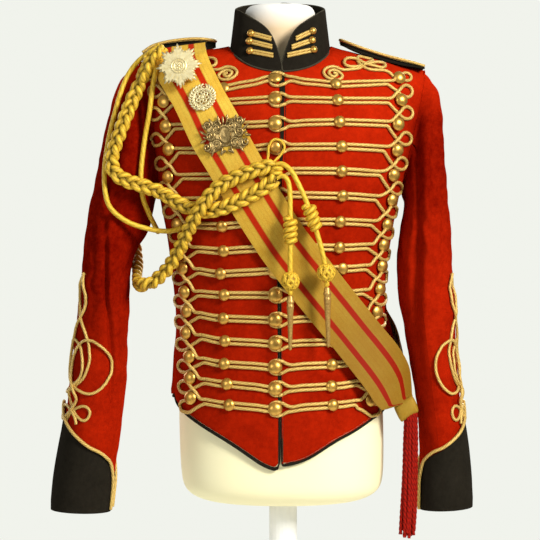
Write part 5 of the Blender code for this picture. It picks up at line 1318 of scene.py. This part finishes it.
pinned("star", [boss] + rays + petals + beads, badgeGilt, -2.0)

ring = [turned("wreath_boss", ((2.6, 0.8), (3.2, 2.4), (2.8, 3.6), (1.6, 4.4), (0.2, 4.6)), 20)]
knots = []
for turn, reach, wave, lobes, rise in ((0.0, 6.6, 3.0, 4, 2.2), (45.0, 6.6, 3.0, 4, 3.2),
                                       (0.0, 11.6, 0.0, 1, 1.8)):
    angles = [2 * math.pi * k / 60 for k in range(61)]
    knots.append([arm(reach + wave * math.cos(lobes * angle), angle + math.radians(turn), rise) * mm
                  for angle in angles])
ring.append(tubesAlong("wreath_knot", knots, 1.15 * mm, 6))
for k in range(12):
    for way in (1, -1):
        angle = math.radians(-90 + way * (10 + k * 14.4))
        for off, lean in ((2.6, 0.6), (-2.2, -0.6)):
            spot = arm(badgeCut["wreathReach"] + off, angle, 2.2)
            spin = angle + way * (math.pi / 2 - lean)
            ring.append(ellipsoid("wreath_leaf", (4.0, 1.75, 1.3), spot, spin, 0.35))
ring += ringOf("wreath_bead", 24, (1.3, 1.3, 1.2), 15.4, 2.9)
ring += [ellipsoid("wreath_bow", (3.8, 2.0, 1.6), (way * 3.2, -17.0, 3.0), way * 0.5, 0.0, 10, 6)
         for way in (1, -1)]
pinned("wreath", ring, badgeGilt)

# plaque: scrolls and leaves about a plain oval, in mm; each row is a scroll's middle, size, turns and start
plaqueScrolls = ((10.5, 9.5, 6.6, 1.35, 200), (20.5, 2.0, 7.2, 1.4, 110), (12.0, -10.0, 6.4, 1.3, 20),
                 (26.5, -10.5, 5.2, 1.3, 150), (22.0, 14.0, 4.6, 1.25, 300))
plaqueLeaves = ((29.5, 6.0, 6.0, 35), (31.0, -3.5, 5.0, -15), (17.0, 17.5, 5.2, 60), (6.0, 18.5, 5.5, 80),
                (19.5, -17.5, 5.5, -60), (7.0, -18.0, 5.2, -75), (15.5, -2.0, 4.5, 15), (27.5, 12.5, 4.2, 50))
plaqueBacks = ((0, 0, 24, 13, 0), (13, 8, 13, 9, 0.5), (-13, 8, 13, 9, -0.5), (14, -9, 13, 8, -0.4),
               (-14, -9, 13, 8, 0.4))
plaqueBars = (((4, 15), (26, 16)), ((5, -15), (28, -15)), ((6, 2), (30, 0)))
parts = [turned("plaque_oval", (
    (8.0, 0.5), (8.5, 2.4), (8.0, 3.6), (7.2, 3.9), (6.6, 3.2), (5.2, 3.3), (3.0, 4.1), (0.4, 4.4)), 28)]
parts[0].data.transform(Matrix.Diagonal((1.0, 1.25, 1, 1)))
parts += [ellipsoid("plaque_back", (wide, tall, 0.9), (px, py, 1.0), turn, 0, 20, 6)
          for px, py, wide, tall, turn in plaqueBacks]
for way in (1, -1):
    bm = bmesh.new()
    for cx, cy, size, turns, start in plaqueScrolls:
        route = []
        for share in (k / 21 for k in range(22)):
            spot = arm(size * (1 - 0.82 * share), math.radians(start) + 2 * math.pi * turns * share)
            route.append((way * (cx + spot.x), cy + spot.y, 2.0 + 1.2 * share))
        layTube(bm, inMm(route), 1.5 * mm, 6, lambda share: 1.2 - 0.35 * share)
    for low, high in plaqueBars:
        bar = [(way * mix(low[0], high[0], s), mix(low[1], high[1], s) + 2.4 * math.sin(s * 7), 1.3)
               for s in (k / 14 for k in range(15))]
        layTube(bm, inMm(bar), 1.2 * mm, 6)
    parts.append(meshFrom("plaque_scrolls", bm))
    for px, py, long, turn in plaqueLeaves:
        spin = math.radians(turn if way > 0 else 180 - turn)
        parts.append(ellipsoid("plaque_leaf", (long, 1.7, 1.1), (way * px, py, 2.2), spin, 0.25))
for k in range(5):
    angle = math.radians(90 + (k - 2) * 24)
    spot = (13.5 * math.cos(angle), 4.5 + 12.5 * math.sin(angle), 2.9)
    parts.append(ellipsoid("plaque_plume", (5.2, 1.7, 1.3), spot, angle))
parts += [ellipsoid("plaque_foot", (5.0, 1.9, 1.2), (way * 5.5, -19.0, 2.4), -way * 0.35) for way in (1, -1)]
pinned("plaque", parts, oldGilt)
print("badges made")

# aiguillette: two plaits, two loose cords, two tails, all from the shoulder knot; places in mm

routes = {
    "aig_cord_outer": (
        (-194, -55, 858), (-205, -51, 850), (-217, -45, 837), (-226, -46, 820), (-233, -49, 800),
        (-239, -50, 778), (-246, -50, 751), (-251, -54, 722), (-254, -59, 693), (-252, -67, 660),
        (-243, -73, 637), (-220, -70, 619), (-190, -63, 609), (-166, -63, 606), (-150, -77, 608),
        (-142, -89, 611),
    ),
    "aig_cord_inner": (
        (-180, -60, 849), (-182, -62.5, 832), (-186, -63, 806), (-190, -62, 775), (-196, -58, 743),
        (-200, -60, 712), (-202, -62, 684), (-200, -58, 656), (-192, -46, 632), (-184, -26, 614),
        (-181, -6, 606),
    ),
    "aig_plait_front": (
        (-190, -59.5, 846), (-202, -57, 820), (-214, -60, 793), (-225, -66, 764), (-235, -70, 735),
        (-242, -72, 711), (-239, -75, 690), (-221, -78, 677), (-196, -80, 669), (-170, -82, 659),
        (-144, -93, 643), (-117, -103, 634), (-93, -120, 635), (-70, -127, 643), (-36, -132, 660),
        (-11, -134, 677),
    ),
    "aig_plait_back": (
        (-13, -134, 696), (-36, -137, 690), (-62, -134, 681), (-88, -129, 667), (-106, -125, 650),
        (-119, -119, 631), (-132, -105, 609), (-148, -84, 578), (-163, -70, 554), (-180, -61, 538),
        (-197, -52, 530), (-208, -36, 532), (-211, -12, 541), (-212, 16, 553), (-216, 42, 571),
        (-221, 61, 600), (-221, 78, 640), (-212, 92, 688), (-197, 101, 740), (-180, 94, 797),
        (-171, 72, 840),
    ),
    "aig_tail_1": (
        (-10, -134, 678), (-3, -136, 681), (4, -137, 677), (8, -137, 664), (9, -138, 630), (9, -138, 597),
        (9, -137, 560), (9, -135, 530), (9, -130, 485), (9, -127, 440),
    ),
    "aig_tail_2": (
        (-11.5, -134, 697), (-1, -137, 697), (10, -140, 688), (18, -141, 674), (27, -141, 655),
        (37, -139, 630), (44, -137, 608), (54, -134, 572), (59, -131, 542), (61, -126, 495), (62, -122, 444),
    ),
}
cordCut = {"plait": 19 * mm, "loose": 7.2 * mm, "tail": 7 * mm, "plaitAcross": 6.5 * mm,
           "plaitDeep": 3.1 * mm, "strand": 4.5 * mm, "pitch": 46 * mm, "step": 2.0 * mm}
clothTree = treeOf(scarletSheets.values())


def facingAlong(points):              # smoothly away from the cloth all along
    facing = [(p - clothTree.find_nearest(p)[0]).normalized() for p in points]
    return [f.normalized() for f in averaged(facing, 12)]


def layPlait(bm, points, turnAt=0.0):
    facing, run, last = facingAlong(points), 0.0, len(points) - 1
    strands = [[], [], []]
    for k, p in enumerate(points):
        run += (p - points[k - 1]).length if k else 0.0
        ahead = (points[min(k + 1, last)] - points[max(k - 1, 0)]).normalized()
        across = ahead.cross(facing[k]).normalized()
        outward = across.cross(ahead)
        for j in range(3):
            angle = 2 * math.pi * (run / cordCut["pitch"] + j / 3) + turnAt
            strands[j].append(p + across * cordCut["plaitAcross"] * math.sin(angle)
                              + outward * cordCut["plaitDeep"] * math.sin(2 * angle))
    for strand in strands:
        layTube(bm, strand, cordCut["strand"], 10, core=points)


def cordPiece(node, bm, kind):
    finish = brightCord if kind == "plait" else looseCord
    piece = dress(meshFrom(node + "_cord", bm), finish, "bright_cord", node)


for node, kind in (("aig_plait_front", "plait"), ("aig_plait_back", "plait"),
                   ("aig_cord_outer", "loose"), ("aig_cord_inner", "loose")):
    points = runThrough(inMm(routes[node]), cordCut["step"])
    bm = bmesh.new()
    if kind == "plait":
        layPlait(bm, points)
    else:
        layTube(bm, points, cordCut["loose"] / 2, 10)
    cordPiece(node, bm, kind)


def wound(bm, middle, along, reach, turns, rise, thick, steps=14):   # a cord wound about a line
    along = along.normalized()
    sideways = along.orthogonal().normalized()
    other = along.cross(sideways)
    route = []
    for k in range(turns * steps + 1):
        spot = arm(reach, 2 * math.pi * k / steps)
        route.append(middle + along * rise * (k / steps - turns / 2) + sideways * spot.x + other * spot.y)
    tuck = along * rise * turns * 0.45
    layTube(bm, [middle - tuck] + route + [middle + tuck], thick)   # with its ends tucked in


def wovenBall(bm, middle, reach, thick, leads=5, bights=7):
    route = []
    for k in range(leads * 30 + 1):
        turn = 2 * math.pi * k / (leads * 30)
        high = math.radians(64) * math.sin(turn * bights)
        weave = reach + 0.5 * mm * math.cos(turn * bights * leads)
        route.append(middle + arm(math.cos(high), turn * leads, math.sin(high)) * weave)
    layTube(bm, route, thick, 7)


tailCut = {"knot": 6.6 * mm, "wrap": 3.9 * mm, "rise": 8.2 * mm, "ball": 10.6 * mm, "weave": 2.7 * mm,
           "core": (10.4, 10.4, 10.4)}
# share of each tail's length: middle of the barrel knot, middle of the ball, top of the tag
tailPlaces = {"aig_tail_1": (0.345, 0.625, 0.70), "aig_tail_2": (0.345, 0.63, 0.70)}
tagProfile = ((0.4, 0), (2.2, 1.0), (2.6, 6.0), (3.4, 30.0), (4.3, 52.0), (5.0, 60.0), (5.2, 62.0),
              (4.6, 63.0), (4.6, 65.5), (5.4, 66.5), (5.4, 69.0), (4.4, 70.5), (4.2, 74.0), (3.0, 76.0),
              (1.0, 76.6))
for node, shares in tailPlaces.items():
    points = runThrough(inMm(routes[node]), cordCut["step"])
    knotAt, ballAt, tagAt = (round(share * (len(points) - 1)) for share in shares)
    bm = bmesh.new()
    wound(bm, points[knotAt], points[knotAt + 3] - points[knotAt - 3], tailCut["knot"], 4, tailCut["rise"],
          tailCut["wrap"])
    knot = dress(meshFrom(node + "_knot", bm), brightCord, "bright_cord")
    bm = bmesh.new()
    wovenBall(bm, points[ballAt], tailCut["ball"], tailCut["weave"])
    core = ellipsoid("core", tailCut["core"], points[ballAt] / mm, 0, 0, 16, 10)
    ball = dress(joined(node + "_ball", [meshFrom(node + "_weave", bm), core]), brightCord, "bright_cord")
    foot, line = points[-1], points[tagAt] - points[-1]
    tall = line.length / mm / tagProfile[-1][1]
    tag = turned(node + "_tag", [(wide, up * tall) for wide, up in tagProfile], 16)
    upright = Vector((0, 0, 1)).rotation_difference(line.normalized()).to_matrix().to_4x4()
    tag.data.transform(Matrix.Translation(foot) @ upright)
    dress(tag, tagGilt, "badge_metal")
    bm = bmesh.new()
    layTube(bm, points, cordCut["tail"] / 2, 10, lambda share, top=shares[2]: 1.0 if share < top else 0.3)
    cordPiece(node, bm, "tail")

# the small loop that hangs the tails from the fourth button, and the shoulder knot
buttonLoop = ((-26, -133.5, 686), (-22, -132.5, 706), (-20.5, -132, 722), (-14, -132, 731), (-5, -132, 730),
              (1, -132.5, 722), (-3, -133.5, 712), (-11, -135.5, 703), (-18, -136.5, 697))
knotPlait = ((-172, -54, 867), (-179, -62, 861), (-187, -64, 849), (-195, -62, 835), (-202, -60, 821))
knotBight = ((-176, -56, 858), (-180, -63, 862), (-188, -62, 862), (-195, -58, 856), (-196, -60, 848),
             (-190, -64, 845), (-181, -64, 850), (-176, -60, 853))
bm = bmesh.new()
layTube(bm, runThrough(inMm(buttonLoop), 1.5 * mm), 1.9 * mm)
wound(bm, Vector((-0.010, -0.1335, 0.687)), Vector((0.25, 0, 1)), 6.0 * mm, 2, 6.5 * mm, 3.3 * mm)
dress(meshFrom("aig_button_loop", bm), brightCord, "bright_cord")
bm = bmesh.new()
wound(bm, Vector((-0.1828, -0.0545, 0.8575)), Vector((-0.35, 0.1, 0.9)), 5.6 * mm, 3, 5.6 * mm, 3.1 * mm)
layPlait(bm, runThrough(inMm(knotPlait), cordCut["step"]), 0.8)
layTube(bm, runThrough(inMm(knotBight), 1.5 * mm), 3.0 * mm)
dress(meshFrom("aig_shoulder_knot", bm), brightCord, "bright_cord", "aig_knot")
print("aiguillette made")

# stand: pole and base keep their CAD shape
for node in ("stand_pole", "stand_base"):
    slots = cadNodes[node].material_slots
    if not slots:
        cadNodes[node].data.materials.append(standPaint)
    for slot in slots:
        slot.material = standPaint
print("stand painted")
